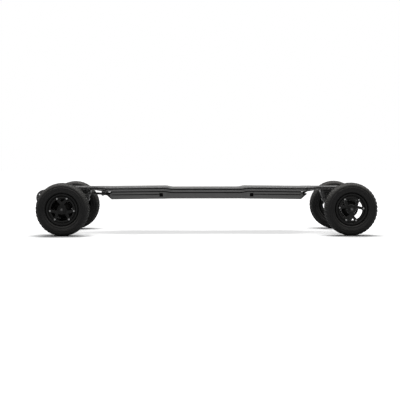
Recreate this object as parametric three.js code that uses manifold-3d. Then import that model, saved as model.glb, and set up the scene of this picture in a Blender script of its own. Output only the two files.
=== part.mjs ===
// Electric mountainboard: a carbon deck with a battery enclosure below it, two double-kingpin trucks,
// four air-filled tyres on spoked rims, and two belt-driven motors on the rear truck.
// Millimetres. +X is the front, +Y the rider's left, +Z up. The ground is z = 0.

import * as THREE from 'three';
import { mergeVertices } from 'three/addons/utils/BufferGeometryUtils.js';
import Module from 'manifold-3d';

const wasm = await Module();
wasm.setup();

// Clearances, shared by every piece
const seatGap = 0.3;
const cutOverrun = 2;
const weldDistance = 0.001;

// Facets round a turned shape: large, middling and small ones, bores and hexagons
const largeSides = 24;
const middleSides = 14;
const smallSides = 12;
const boreSides = 8;
const hexSides = 6;
const curveFacets = 6;

// Whole board
const wheelbase = 950;
const tyreCentreSpan = 366;

// Tyre
const tyreRadius = 87.5;
const tyreHalfWidth = 27;
const tyreSegments = 24;
const beadGap = 0.5;
const beadSideGap = 0.5;

// Rim: a barrel with two flanges, a spoke disc and a hub
const rimSeatRadius = 45;
const rimFlangeHeight = 6.4;
const rimFlangeThickness = 2.5;
const rimSetback = 7;
const rimWall = 4;
const hubInset = 1;
const hubWall = 4;
const hubFlangeRadius = 28;
const hubFlangeThickness = 4;
const spokeThickness = 7;
const spokeFaceInset = 4;
const spokeWidth = 6.6;
const windowEdge = 4.5;
const windowFacets = 4;
const spokeSpread = THREE.MathUtils.degToRad(24);
const spokeForkRadius = 16;
const spokePairs = 3;
const frontSpokeTurn = THREE.MathUtils.degToRad(28);
const rearSpokeTurn = THREE.MathUtils.degToRad(90);
const frontLeftRestDegrees = 3;

// Wheel bearings: a pair with the spacer sleeve between them
const bearingRadius = 11;
const bearingWidth = 7;
const bearingFit = 0.25;
const spacerRadius = 6.5;

// Axle
const axleEndRadius = 4;
const axleShaftRadius = 7;
const axleFit = 0.25;
const nutRadius = 7.5;
const nutHeight = 6;
const axleTipLength = 1;

// Deck board: a waist, two wider and higher platforms, and a tongue over each truck
const deckWaistHalf = 106;
const deckPlatformHalf = 121;
const waistHalfLength = 118;
const waistFlare = 21;
const waistDrop = 3;
const waistThickness = 14;
const platformThickness = 14;
const platformEndSetback = 139;
const tongueStartSetback = 81;
const tongueOverhang = 8;
const deckRise = 60;
const tongueHalf = 52;
const tongueEndHalf = 41;
const tongueThickness = 11.5;
const tongueRise = 42;
const tongueStep = 3;
const noseFacets = 4;

// Grip sheet
const gripThickness = 1;
const gripInset = 3;

// Battery enclosure
const trayDepth = 25;
const trayWall = 3;
const trayWaistInset = 4;
const trayPlatformInset = 8;
const trayEndSetback = 152;
const trayEndSlope = 6;
const railInset = 3.5;
const railDrop = 2.5;
const railHeight = 7.7;
const railStartInset = 10;
const railEndInset = 3;
const prowReach = 15.5;
const prowRise = 17;
const prowEdge = 1.2;
const prowInset = 2;
const tabHalf = 26;
const tabReach = 49;
const tabRoot = 20;
const tabThickness = 3.6;
const tabEdge = 0.6;

// Battery pack and speed controller, inside the enclosure
const packEndRoom = 27;
const packSideRoom = 18;
const packHeight = 17;
const packChamfer = 5;
const packToController = 28;
const controllerLength = 136;
const controllerEndRoom = 31;
const controllerHalf = 58;
const controllerHeight = 14;
const controllerFins = 9;
const controllerFinHeight = 3;

// Power button and charging socket, on the left wall of the enclosure
const socketSetback = 56;
const socketDrop = 11.2;
const socketRadius = 7.5;
const socketBoreRadius = 5.4;
const socketDepth = 13;
const socketBoreDepth = 11;
const socketProud = 0.6;
const capOverlap = 1.5;
const capThickness = 2.2;
const capHingeRadius = 1.4;
const capHingeHalf = 5;
const buttonSpacing = 34;
const buttonDrop = 9.5;
const buttonRadius = 7;
const buttonEdge = 0.3;
const buttonTravel = 1.2;
const buttonPressedProud = 0.6;
const buttonFlange = 1.8;
const buttonFlangeThickness = 1.5;

// Truck, in its own plane: lengths along its arms and along its kingpins
const rake = THREE.MathUtils.degToRad(18);
const outerSeatArm = 21.5;
const outerSeatPin = 21.3;
const seatSpacing = 24.5;
const seatStep = 24.6;
const innerArm = 42;
const outerArm = 36;
const kingpinRadius = 5;
const kingpinFit = 0.3;
const kingpinCover = 2.5;
const kingpinTail = 5.6;
const kingpinNutRadius = 7.6;
const washerThickness = 1.6;
const bushingRadius = 9.5;
const bushingHeight = 9;
const bushingRoom = 1.5;
const ringWall = 6.5;
const ringHalf = 4;
const ringPlay = 1.5;
const pivotPinRadius = 4;
const pivotRootRadius = 6.3;
const pivotRootLength = 12;
const pivotPlay = 0.8;
const pivotCupWall = 3.2;
const pivotCupLip = 3;
const pivotCupBack = 7;

// Baseplate
const baseplateInnerSetback = 76;
const baseplateOverhang = 4;
const baseplateHalf = 27;
const baseplateThickness = 8;
const baseplateCorner = 9;
const kingpinBossRadius = 10.5;

// Carrier and hanger
const carrierHalf = 11;
const kingpinSeatRadius = 11.5;
const kingpinSeatHeight = 11;
const bridgeRun = 8;
const bridgeRoom = 1.2;
const cupRoom = 2;
const hangerBlockHalf = 13;
const hangerBeamRadius = 10.5;
const hangerProud = 1.7;

// Drive
const motorBack = 68;
const motorRise = 36;
const motorRadius = 28;
const motorLength = 74;
const motorEdge = 3;
const motorShaftRadius = 4;
const motorShaftFit = 0.25;
const motorShaftDepth = 24;
const mountThickness = 6;
const mountHubWall = 6.5;
const mountHubLength = 14;
const mountBeamFit = 0.5;
const mountShaftRoom = 5;
const beltPitch = 5;
const pulleyTeeth = 60;
const pinionTeeth = 15;
const toothDepth = 1.9;
const pitchInset = 0.7;
const beltGap = 0.45;
const beltThickness = 2.8;
const beltWidth = 15;
const beltSideGap = 0.5;
const beltToTyreGap = 4;
const beltToMountGap = 4.7;
const wideLoopFacets = 20;
const tightLoopFacets = 8;
const pulleyWebThickness = 6;
const pulleyRimThickness = 5;
const pulleySleeveRoom = 7.5;
const pulleyHoles = 6;
const pulleyHoleRadius = 4.5;

// Motor leads and their clips, under the rear of the deck
const leadRadius = 2.6;
const leadSides = 8;
const leadStep = 9;
const leadY = 34;
const leadDrop = 13.5;
const leadGlandGap = 0.6;
const clipReach = 33;
const clipRise = 2.4;
const clipHalfLength = 4;
const clipWall = 2.4;
const clipFootHalf = 7;

// Worked out from the sizes above: the wheels
const axleHeight = tyreRadius;
const axleX = wheelbase / 2;
const axleHalfSpan = tyreCentreSpan / 2;
const beadRadius = rimSeatRadius + beadGap;
const rimHalfWidth = tyreHalfWidth - rimSetback;
const rimNeckHalf = rimHalfWidth - rimFlangeThickness;
const rimFlangeRadius = rimSeatRadius + rimFlangeHeight;
const rimInnerRadius = rimSeatRadius - rimWall;
const windowOuterRadius = rimInnerRadius - windowEdge;
const beadHalfWidth = rimNeckHalf - beadSideGap;
const hubRadius = bearingRadius + hubWall;
const hubHalfWidth = rimHalfWidth - hubInset;
const wheelInnerY = axleHalfSpan - hubHalfWidth;
const wheelOuterY = axleHalfSpan + hubHalfWidth;

// Worked out: the truck's lines and the deck's height on it
const armDirection = new THREE.Vector3(Math.cos(rake), 0, Math.sin(rake));
const pinDirection = new THREE.Vector3(-Math.sin(rake), 0, Math.cos(rake));
const axleCentre = new THREE.Vector3(0, 0, axleHeight);
const outerSeat = axleCentre.clone()
  .addScaledVector(armDirection, -outerSeatArm).addScaledVector(pinDirection, outerSeatPin);
const innerSeat = outerSeat.clone()
  .addScaledVector(armDirection, -seatSpacing).addScaledVector(pinDirection, seatStep);
const ringBoreRadius = kingpinRadius + ringPlay;
const ringRadius = ringBoreRadius + ringWall;
const pivotCupBore = pivotPinRadius + pivotPlay;
const pivotCupRadius = pivotCupBore + pivotCupWall;
const seatStart = ringHalf + seatGap + bushingHeight + seatGap;
const kingpinReach = seatStart + kingpinSeatHeight - kingpinCover;
const stackEdge = bushingRadius + bushingRoom;

// Worked out: the deck and the enclosure
const tongueBottom = axleHeight + deckRise;
const platformBottom = tongueBottom - tongueStep;
const plateTop = tongueBottom - seatGap;
const plateBottom = plateTop - baseplateThickness;
const platformTop = platformBottom + platformThickness;
const tongueTop = tongueBottom + tongueThickness;
const waistBottom = platformBottom - waistDrop;
const waistTop = waistBottom + waistThickness;
const platformStart = waistHalfLength + waistFlare;
const platformEnd = axleX - platformEndSetback;
const tongueStart = axleX - tongueStartSetback;
const tongueEnd = axleX + tongueOverhang;
const trayFloorZ = platformBottom - trayDepth;
const trayWaistHalf = deckWaistHalf - trayWaistInset;
const trayPlatformHalf = deckPlatformHalf - trayPlatformInset;
const trayEndWallX = axleX - trayEndSetback;
const trayFloorHalfLength = trayEndWallX - trayEndSlope;
const railHalf = deckPlatformHalf - railInset;
const railHigh = platformBottom - railDrop;
const railLow = railHigh - railHeight;
const railStart = platformStart + railStartInset;
const railEnd = trayEndWallX - railEndInset;
const prowX = trayEndWallX + prowReach;
const prowZ = trayFloorZ + prowRise;
const prowHalf = trayPlatformHalf - prowInset;

// Worked out: what the enclosure holds
const packFrontX = trayEndWallX - packEndRoom;
const packHalf = trayWaistHalf - packSideRoom;
const controllerRearX = controllerEndRoom - trayEndWallX;
const controllerFrontX = controllerRearX + controllerLength;
const packRearX = controllerFrontX + packToController;
const socketX = socketSetback - waistHalfLength;
const socketZ = waistBottom - socketDrop;
const capRadius = socketRadius + capOverlap;
const buttonX = socketX - buttonSpacing;
const buttonZ = waistBottom - buttonDrop;
const buttonProud = buttonTravel + buttonPressedProud;

// Worked out: the drive, from the tyre inwards
const beltOuterY = axleHalfSpan - tyreHalfWidth - beltToTyreGap;
const beltInnerY = beltOuterY - beltWidth;
const mountOuterY = beltInnerY - beltToMountGap;
const mountInnerY = mountOuterY - mountThickness;
const motorOuterY = mountInnerY - seatGap;
const motorInnerY = motorOuterY - motorLength;
const hangerHalfLength = mountOuterY + hangerProud;
const mountHubRadius = hangerBeamRadius + mountBeamFit + mountHubWall;
const pulleySleeveBore = hangerBeamRadius + pulleySleeveRoom;
const pulleyPitchRadius = (pulleyTeeth * beltPitch) / (2 * Math.PI);
const pinionPitchRadius = (pinionTeeth * beltPitch) / (2 * Math.PI);
const pulleyTipRadius = pulleyPitchRadius - pitchInset;
const pinionTipRadius = pinionPitchRadius - pitchInset;
const driveDistance = Math.hypot(motorBack, motorRise);
const driveAngle = Math.atan2(motorRise, motorBack);
const leadExitZ = platformBottom - leadDrop;
const clipU = trayEndWallX + clipReach - axleX;

// The bounding box's middle is over the origin
const rearReach = Math.max(tyreRadius, motorBack + motorRadius);
const boardShift = (rearReach - tyreRadius) / 2;

const finishes = {
  carbon: { color: 0x2a2b2d, roughness: 0.42, metalness: 0.1 },
  grip: { color: 0x6b6c6e, roughness: 0.95, metalness: 0 },
  tray: { color: 0x303133, roughness: 0.5, metalness: 0.1 },
  rubber: { color: 0x1d1e1f, roughness: 0.85, metalness: 0 },
  rim: { color: 0x27282a, roughness: 0.45, metalness: 0.2 },
  steel: { color: 0x9a9c9f, roughness: 0.3, metalness: 0.95 },
  forged: { color: 0x232426, roughness: 0.5, metalness: 0.6 },
  urethane: { color: 0x3a3b3c, roughness: 0.6, metalness: 0 },
  motor: { color: 0x1f2022, roughness: 0.4, metalness: 0.6 },
  belt: { color: 0x151616, roughness: 0.8, metalness: 0 },
  cells: { color: 0x2f4a68, roughness: 0.6, metalness: 0 },
  board: { color: 0x2f5a3c, roughness: 0.5, metalness: 0.2 },
};

// Turns a closed three.js geometry into a solid that can be joined and cut
function solid(geometry) {
  const bare = geometry.clone();
  bare.deleteAttribute('normal');
  bare.deleteAttribute('uv');
  const welded = mergeVertices(bare, weldDistance);
  const place = welded.getAttribute('position').array;
  const corners = [];
  const index = welded.index.array;
  for (let i = 0; i < index.length; i += 3) {
    const [a, b, c] = [index[i], index[i + 1], index[i + 2]];
    if (a !== b && b !== c && c !== a) corners.push(a, b, c);
  }
  if (signedVolume(place, corners) < 0) corners.reverse();
  return new wasm.Manifold(new wasm.Mesh({
    numProp: 3,
    vertProperties: new Float32Array(place),
    triVerts: new Uint32Array(corners),
  }));
}

function signedVolume(place, corners) {
  const point = (n) => new THREE.Vector3().fromArray(place, 3 * n);
  let total = 0;
  for (let i = 0; i < corners.length; i += 3) {
    const [a, b, c] = [point(corners[i]), point(corners[i + 1]), point(corners[i + 2])];
    total += a.dot(b.cross(c));
  }
  return total;
}

const join = (first, ...others) => others.reduce((whole, next) => whole.add(next), first);
const cut = (first, ...others) => others.reduce((whole, next) => whole.subtract(next), first);
const common = (first, second) => first.intersect(second);

// A named mesh from a solid
function piece(name, shape, finish) {
  const { vertProperties, triVerts } = shape.getMesh();
  const geometry = new THREE.BufferGeometry();
  geometry.setAttribute('position', new THREE.BufferAttribute(new Float32Array(vertProperties), 3));
  geometry.setIndex(new THREE.BufferAttribute(new Uint32Array(triVerts), 1));
  const material = new THREE.MeshStandardMaterial({ ...finishes[finish], flatShading: true });
  const mesh = new THREE.Mesh(geometry, material);
  mesh.name = name;
  return mesh;
}

function outline(points) {
  return new THREE.Shape(points.map(([x, y]) => new THREE.Vector2(x, y)));
}

function prism(shape, depth, matrix) {
  const options = { depth, bevelEnabled: false, curveSegments: curveFacets };
  const geometry = new THREE.ExtrudeGeometry(shape, options);
  return solid(geometry.applyMatrix4(matrix));
}

// A plan outline raised from low to high
function raised(shape, low, high) {
  return prism(shape, high - low, new THREE.Matrix4().makeTranslation(0, 0, low));
}

// A side outline in x and z, carried across from low y to high y
function across(shape, low, high) {
  const turn = new THREE.Matrix4().makeBasis(
    new THREE.Vector3(1, 0, 0), new THREE.Vector3(0, 0, 1), new THREE.Vector3(0, -1, 0));
  return prism(shape, high - low, turn.setPosition(0, high, 0));
}

// A block between two corners
function block([x0, y0, z0], [x1, y1, z1]) {
  return raised(outline([[x0, y0], [x1, y0], [x1, y1], [x0, y1]]), z0, z1);
}

// A body turned about the y axis from [radius, y] points
function turned(points, segments, x = 0, y = 0, z = 0) {
  const profile = points.map(([r, along]) => new THREE.Vector2(r, along));
  return solid(new THREE.LatheGeometry(profile, segments).translate(x, y, z));
}

// A round bar on a line, from one distance to another along it
function rod(from, direction, start, end, radius, sides = middleSides) {
  const geometry = new THREE.CylinderGeometry(radius, radius, end - start, sides);
  const turn = new THREE.Quaternion().setFromUnitVectors(new THREE.Vector3(0, 1, 0), direction);
  const middle = from.clone().addScaledVector(direction, (start + end) / 2);
  return solid(geometry.applyQuaternion(turn).translate(middle.x, middle.y, middle.z));
}

const sideways = new THREE.Vector3(0, 1, 0);

// Mirrors a one-end plan outline to both ends and both sides
function planOutline(quarter) {
  const right = quarter.map(([x, y]) => [x, -y]);
  const front = [...right, ...quarter.slice().reverse()];
  const rear = front.map(([x, y]) => [-x, -y]);
  return outline([...front, ...rear]);
}

// The deck's plan for one end and one side, drawn in by an inset
function deckQuarter(inset) {
  const turnShare = 0.45;
  const noseRound = tongueEndHalf * turnShare;
  const shoulder = (platformEnd + tongueStart) / 2;
  const easeShare = 0.12;
  const ease = (deckPlatformHalf - tongueHalf) * easeShare;
  const points = [
    [waistHalfLength, deckWaistHalf - inset],
    [platformStart - inset / 2, deckPlatformHalf - inset],
    [platformEnd, deckPlatformHalf - inset],
    [platformEnd + (shoulder - platformEnd) / 2, deckPlatformHalf - ease - inset],
    [shoulder, (deckPlatformHalf + tongueHalf) / 2 - inset],
    [shoulder + (tongueStart - shoulder) / 2, tongueHalf + ease - inset],
    [tongueStart, tongueHalf - inset],
    [tongueEnd - noseRound, tongueEndHalf - inset],
  ];
  const centreX = tongueEnd - noseRound;
  const centreY = tongueEndHalf - noseRound;
  for (let i = 1; i <= noseFacets; i += 1) {
    const angle = (Math.PI / 2) * (1 - i / noseFacets);
    const radius = noseRound - inset;
    points.push([centreX + radius * Math.cos(angle), centreY + radius * Math.sin(angle)]);
  }
  return points;
}

// The deck's height at its stations, for a side outline
function deckStations(low, middle, end) {
  return [
    [waistHalfLength, low], [platformStart, middle], [platformEnd, middle],
    [platformEnd + tongueRise, end], [tongueEnd + cutOverrun, end],
  ];
}

function deckSide(bottom, top) {
  const mirrored = (stations) => stations.map(([x, z]) => [-x, z]).reverse();
  return outline([
    ...mirrored(bottom), ...bottom,
    ...top.slice().reverse(), ...mirrored(top).reverse(),
  ]);
}

// The height of the deck's underside at a distance from its middle, from the platforms outwards
function undersideAt(reach) {
  const share = THREE.MathUtils.clamp((reach - platformEnd) / tongueRise, 0, 1);
  return platformBottom + tongueStep * share;
}

function deckBoard() {
  const plan = raised(planOutline(deckQuarter(0)), trayFloorZ, tongueTop + cutOverrun);
  const side = deckSide(
    deckStations(waistBottom, platformBottom, tongueBottom),
    deckStations(waistTop, platformTop, tongueTop));
  return common(across(side, -deckPlatformHalf, deckPlatformHalf), plan);
}

function gripSheet() {
  const low = seatGap;
  const high = seatGap + gripThickness;
  const plan = raised(planOutline(deckQuarter(gripInset)), trayFloorZ, tongueTop + high + cutOverrun);
  const side = deckSide(
    deckStations(waistTop + low, platformTop + low, tongueTop + low),
    deckStations(waistTop + high, platformTop + high, tongueTop + high));
  return common(across(side, -deckPlatformHalf, deckPlatformHalf), plan);
}

// The enclosure's plan, drawn in by an inset
function trayPlan(inset) {
  return planOutline([
    [waistHalfLength, trayWaistHalf - inset],
    [platformStart, trayPlatformHalf - inset],
    [trayEndWallX - inset, trayPlatformHalf - inset],
  ]);
}

// The box of the enclosure, drawn in by an inset; the top stays open under the deck
function trayBox(inset, top) {
  const floor = trayFloorZ + inset;
  const side = outline([
    [-trayEndWallX, floor + trayEndSlope], [-trayFloorHalfLength + inset / 2, floor],
    [trayFloorHalfLength - inset / 2, floor], [trayEndWallX, floor + trayEndSlope],
    [trayEndWallX, top], [-trayEndWallX, top],
  ]);
  const width = trayPlatformHalf;
  return common(across(side, -width, width), raised(trayPlan(inset), trayFloorZ, top));
}

// The side rail with round ends along one platform
function rail(sign) {
  const half = (railHigh - railLow) / 2;
  const shape = new THREE.Shape();
  shape.absarc(railEnd - half, railLow + half, half, -Math.PI / 2, Math.PI / 2);
  shape.absarc(railStart + half, railLow + half, half, Math.PI / 2, 1.5 * Math.PI);
  const bar = across(shape, -railHalf, railHalf);
  const inner = trayPlatformHalf - trayWall;
  const middle = block([railStart - cutOverrun, -inner, railLow - cutOverrun],
    [railEnd + cutOverrun, inner, railHigh + cutOverrun]);
  const ring = cut(bar, middle);
  return sign > 0 ? ring : ring.mirror([1, 0, 0]);
}

// The upswept prow at each end of the enclosure, below the opening that the leads pass
function prow(sign) {
  const root = trayEndWallX - trayWall / 2;
  const points = [
    [trayFloorHalfLength, trayFloorZ], [prowX, prowZ - prowEdge], [prowX, prowZ], [root, prowZ],
  ];
  return across(outline(points.map(([x, z]) => [sign * x, z])), -prowHalf, prowHalf);
}

// The tab that holds each end of the enclosure up to the deck
function tab(sign) {
  const root = trayEndWallX - trayWall / 2;
  const bend = trayEndWallX + tabRoot;
  const end = trayEndWallX + tabReach;
  const points = [
    [root, undersideAt(root) - seatGap - tabThickness], [bend, undersideAt(bend) - seatGap - tabThickness],
    [end, undersideAt(end) - seatGap - tabEdge], [end, undersideAt(end) - seatGap],
    [platformEnd, platformBottom - seatGap], [root, undersideAt(root) - seatGap],
  ];
  return across(outline(points.map(([x, z]) => [sign * x, z])), -tabHalf, tabHalf);
}

function batteryEnclosure() {
  const waistTopZ = waistBottom - seatGap;
  const platformTopZ = platformBottom - seatGap;
  const shell = cut(trayBox(0, platformTopZ), trayBox(trayWall, platformTopZ + cutOverrun));
  const waistRoom = outline([
    [-platformStart, platformTopZ + cutOverrun], [-platformStart, platformTopZ],
    [-waistHalfLength, waistTopZ], [waistHalfLength, waistTopZ],
    [platformStart, platformTopZ], [platformStart, platformTopZ + cutOverrun],
  ]);
  const room = across(waistRoom, -deckPlatformHalf, deckPlatformHalf);
  const buttonHole = rod(new THREE.Vector3(buttonX, 0, buttonZ), sideways,
    packHalf, deckPlatformHalf, buttonRadius + seatGap);
  const socketHole = rod(new THREE.Vector3(socketX, 0, socketZ), sideways,
    packHalf, deckPlatformHalf, socketRadius + seatGap);
  const glands = [-leadY, leadY].map((y) => rod(new THREE.Vector3(-trayEndWallX, y, leadExitZ),
    new THREE.Vector3(-1, 0, 0), -trayWall - cutOverrun, prowReach + cutOverrun,
    leadRadius + leadGlandGap, boreSides));
  const body = join(shell, rail(1), rail(-1), prow(1), prow(-1), tab(1), tab(-1));
  return cut(body, room, buttonHole, socketHole, ...glands);
}

function batteryPack() {
  const low = trayFloorZ + trayWall + seatGap;
  const high = low + packHeight;
  const side = outline([
    [packRearX, low], [packFrontX, low], [packFrontX, high - packChamfer],
    [packFrontX - packChamfer, high], [packRearX + packChamfer, high], [packRearX, high - packChamfer],
  ]);
  return across(side, -packHalf, packHalf);
}

function speedController() {
  const low = trayFloorZ + trayWall + seatGap;
  const base = block([controllerRearX, -controllerHalf, low],
    [controllerFrontX, controllerHalf, low + controllerHeight - controllerFinHeight]);
  const pitch = (2 * controllerHalf) / (2 * controllerFins - 1);
  const fins = [];
  for (let i = 0; i < controllerFins; i += 1) {
    const y = -controllerHalf + 2 * i * pitch;
    fins.push(block([controllerRearX, y, low], [controllerFrontX, y + pitch, low + controllerHeight]));
  }
  return join(base, ...fins);
}

function powerButton() {
  const wallOuter = trayWaistHalf;
  const wallInner = trayWaistHalf - trayWall - seatGap;
  const back = wallInner - buttonFlangeThickness;
  const flangeRadius = buttonRadius + buttonFlange;
  const profile = [
    [0, back], [flangeRadius, back], [flangeRadius, wallInner], [buttonRadius, wallInner],
    [buttonRadius, wallOuter + buttonProud - buttonEdge],
    [buttonRadius - buttonEdge, wallOuter + buttonProud],
    [0, wallOuter + buttonProud],
  ];
  return turned(profile, middleSides, buttonX, 0, buttonZ);
}

function chargeSocket() {
  const face = trayWaistHalf + socketProud;
  const back = face - socketDepth;
  const profile = [
    [0, back], [socketRadius, back], [socketRadius, face], [socketBoreRadius, face],
    [socketBoreRadius, face - socketBoreDepth], [0, face - socketBoreDepth],
  ];
  return turned(profile, middleSides, socketX, 0, socketZ);
}

// The rubber flap over the socket, with its hinge barrel along the top
const capInnerY = trayWaistHalf + socketProud + seatGap;
const capHinge = { y: capInnerY + capThickness - capHingeRadius, z: socketZ + capRadius };

function chargePortCap() {
  const flap = rod(new THREE.Vector3(socketX, 0, socketZ), sideways,
    capInnerY, capInnerY + capThickness, capRadius);
  const barrel = rod(new THREE.Vector3(socketX, capHinge.y, capHinge.z), new THREE.Vector3(1, 0, 0),
    -capHingeHalf, capHingeHalf, capHingeRadius, boreSides);
  return join(flap, barrel);
}

// A truck point from its distance along the arm line and the pin line of one pivot
function pivotPoint(seat, arm, pin) {
  return seat.clone().addScaledVector(armDirection, arm).addScaledVector(pinDirection, pin);
}

const flat = (point) => [point.x, point.z];

function kingpin(seat) {
  const centre = pivotPoint(seat, 0, 0);
  const washerTop = -seatStart;
  const nutTop = washerTop - washerThickness;
  return join(
    rod(centre, pinDirection, nutTop - kingpinTail - seatGap, kingpinReach, kingpinRadius, boreSides),
    rod(centre, pinDirection, nutTop, washerTop, bushingRadius, smallSides),
    rod(centre, pinDirection, nutTop - kingpinTail, nutTop + seatGap, kingpinNutRadius, hexSides));
}

function bushing(seat, side) {
  const centre = pivotPoint(seat, 0, 0);
  const near = ringHalf + seatGap;
  const far = near + bushingHeight;
  const [start, end] = side > 0 ? [near, far] : [-far, -near];
  const body = rod(centre, pinDirection, start, end, bushingRadius, smallSides);
  const bore = rod(centre, pinDirection, start - cutOverrun, end + cutOverrun,
    kingpinRadius + kingpinFit, boreSides);
  return cut(body, bore);
}

// The ring round a kingpin, with the pivot pin that reaches up to its cup
function swingRing(seat, arm) {
  const centre = pivotPoint(seat, 0, 0);
  const rootEnd = ringRadius + pivotRootLength;
  return join(
    rod(centre, pinDirection, -ringHalf, ringHalf, ringRadius, smallSides),
    rod(centre, armDirection, ringRadius - cutOverrun, rootEnd, pivotRootRadius, boreSides),
    rod(centre, armDirection, ringRadius, arm, pivotPinRadius, boreSides));
}

function ringBore(seat) {
  return rod(pivotPoint(seat, 0, 0), pinDirection, -ringHalf - cutOverrun, ringHalf + cutOverrun,
    ringBoreRadius, smallSides);
}

function pivotCup(seat, arm) {
  return rod(pivotPoint(seat, 0, 0), armDirection, arm - pivotCupLip, arm + pivotCupBack,
    pivotCupRadius, smallSides);
}

function pivotCupHole(seat, arm) {
  return rod(pivotPoint(seat, 0, 0), armDirection, arm - pivotCupLip - cutOverrun, arm + seatGap,
    pivotCupBore, boreSides);
}

function kingpinHole(seat) {
  return rod(pivotPoint(seat, 0, 0), pinDirection, seatStart - cutOverrun, kingpinReach + seatGap,
    kingpinRadius + kingpinFit, boreSides);
}

function roundedPlate(x0, x1, half, corner) {
  const shape = new THREE.Shape();
  shape.absarc(x1 - corner, -half + corner, corner, -Math.PI / 2, 0);
  shape.absarc(x1 - corner, half - corner, corner, 0, Math.PI / 2);
  shape.absarc(x0 + corner, half - corner, corner, Math.PI / 2, Math.PI);
  shape.absarc(x0 + corner, -half + corner, corner, Math.PI, 1.5 * Math.PI);
  return shape;
}

// The baseplate: a plate under the deck, with the kingpin's boss, the pivot cup and a rib between them
function baseplate() {
  const [inner, outer] = [-baseplateInnerSetback, baseplateOverhang];
  const plate = raised(roundedPlate(inner, outer, baseplateHalf, baseplateCorner), plateBottom, plateTop);
  const bossEnd = (plateTop - innerSeat.z) / Math.cos(rake) + kingpinBossRadius;
  const boss = rod(innerSeat, pinDirection, seatStart, bossEnd, kingpinBossRadius, smallSides);
  const cup = pivotCup(innerSeat, innerArm);
  const ribHalf = pivotCupRadius / 2;
  const rib = across(outline([
    flat(pivotPoint(innerSeat, 0, seatStart + bushingHeight / 2)),
    flat(pivotPoint(innerSeat, innerArm + pivotCupLip, pivotCupRadius / 2)),
    [pivotPoint(innerSeat, innerArm + pivotCupLip, 0).x, plateTop - cutOverrun],
    [pivotPoint(innerSeat, 0, kingpinReach).x, plateTop - cutOverrun],
  ]), -ribHalf, ribHalf);
  const below = block([inner, -baseplateHalf, axleHeight], [outer, baseplateHalf, plateTop]);
  const body = common(join(plate, boss, cup, rib), below);
  return cut(body, kingpinHole(innerSeat), pivotCupHole(innerSeat, innerArm));
}

// How far in the forged arms start inside a swing ring, as a share of the ring's half height
const ringFootShare = 1.25;

// The forged arm between the two kingpins, drawn along the inner arm and the inner kingpin
function carrier() {
  const ringEdge = ringRadius - ringFootShare * ringHalf;
  const seatLow = seatStart - seatStep;
  const cupArm = seatSpacing + outerArm;
  const bridgeLow = pivotRootRadius + bridgeRoom - seatStep;
  const bridgeHigh = -pivotCupRadius - cupRoom;
  const shoulder = innerArm - pivotCupLip - cupRoom;
  const side = outline([
    [ringEdge, -ringHalf],
    [stackEdge, -ringHalf],
    [seatSpacing - kingpinSeatRadius, seatLow],
    [seatSpacing + kingpinSeatRadius, seatLow],
    [seatSpacing + kingpinSeatRadius + bridgeRun, bridgeLow],
    [cupArm - pivotCupLip, bridgeLow],
    [cupArm + pivotCupBack, pivotCupRadius - seatStep],
    [cupArm, bridgeHigh],
    [shoulder, bridgeHigh],
    [shoulder, -ringHalf],
    [shoulder - ringHalf, ringHalf],
    [ringEdge, ringHalf],
  ].map(([arm, pin]) => flat(pivotPoint(innerSeat, arm, pin))));
  const seat = rod(outerSeat, pinDirection, seatStart, seatStart + kingpinSeatHeight,
    kingpinSeatRadius, smallSides);
  const body = join(across(side, -carrierHalf, carrierHalf), swingRing(innerSeat, innerArm), seat,
    pivotCup(outerSeat, outerArm));
  return cut(body, ringBore(innerSeat), kingpinHole(outerSeat), pivotCupHole(outerSeat, outerArm));
}

// The hanger: the beam round the axle, with the arm that rises to its swing ring
function hanger() {
  const ringEdge = ringRadius - ringFootShare * ringHalf;
  const reach = hangerBeamRadius;
  const side = outline([
    [ringEdge, -ringHalf],
    [stackEdge, -ringHalf],
    [stackEdge, -outerSeatPin],
    [outerSeatArm - reach / 2, -outerSeatPin - reach],
    [outerSeatArm + reach / 2, -outerSeatPin - reach],
    [outerSeatArm + reach, -outerSeatPin - reach / 2],
    [outerSeatArm + reach, -outerSeatPin + reach / 2],
    [ringRadius + 2 * ringHalf, -ringHalf],
    [ringRadius + ringHalf, ringHalf],
    [ringEdge, ringHalf],
  ].map(([arm, pin]) => flat(pivotPoint(outerSeat, arm, pin))));
  const beam = rod(axleCentre, sideways, -hangerHalfLength, hangerHalfLength, hangerBeamRadius, smallSides);
  const bore = rod(axleCentre, sideways, -hangerHalfLength - cutOverrun, hangerHalfLength + cutOverrun,
    axleShaftRadius + axleFit, smallSides);
  const body = join(across(side, -hangerBlockHalf, hangerBlockHalf), beam,
    swingRing(outerSeat, outerArm));
  return cut(body, ringBore(outerSeat), bore);
}

function axle() {
  const shoulder = wheelInnerY - seatGap;
  const tip = wheelOuterY + nutHeight + seatGap + axleTipLength;
  const profile = [
    [0, -tip], [axleEndRadius, -tip], [axleEndRadius, -shoulder], [axleShaftRadius, -shoulder],
    [axleShaftRadius, shoulder], [axleEndRadius, shoulder], [axleEndRadius, tip], [0, tip],
  ];
  return turned(profile, smallSides, 0, 0, axleHeight);
}

// The tyre's half section from bead to crown, as shares of its height and half width
function tyreSection() {
  const height = tyreRadius - beadRadius;
  const outerShares = [[0.16, 0.63], [0.27, 0.87], [0.56, 1], [0.85, 0.86], [1, 0.46]];
  const innerShares = [[0.36, 0.7], [0.76, 0.64]];
  const toeShare = 0.6;
  const at = ([r, y], sign) => [beadRadius + height * r, sign * tyreHalfWidth * y];
  const toe = [beadRadius, beadHalfWidth * toeShare];
  const heel = [beadRadius, beadHalfWidth];
  const mirror = ([r, y]) => [r, -y];
  const outside = outerShares.map((share) => at(share, 1));
  const inside = innerShares.map((share) => at(share, 1));
  const half = [toe, heel, ...outside];
  const otherHalf = half.map(mirror).reverse();
  const innerFar = inside.map(mirror);
  const innerNear = inside.slice().reverse();
  return [...half, ...otherHalf, ...innerFar, ...innerNear, toe];
}

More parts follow.
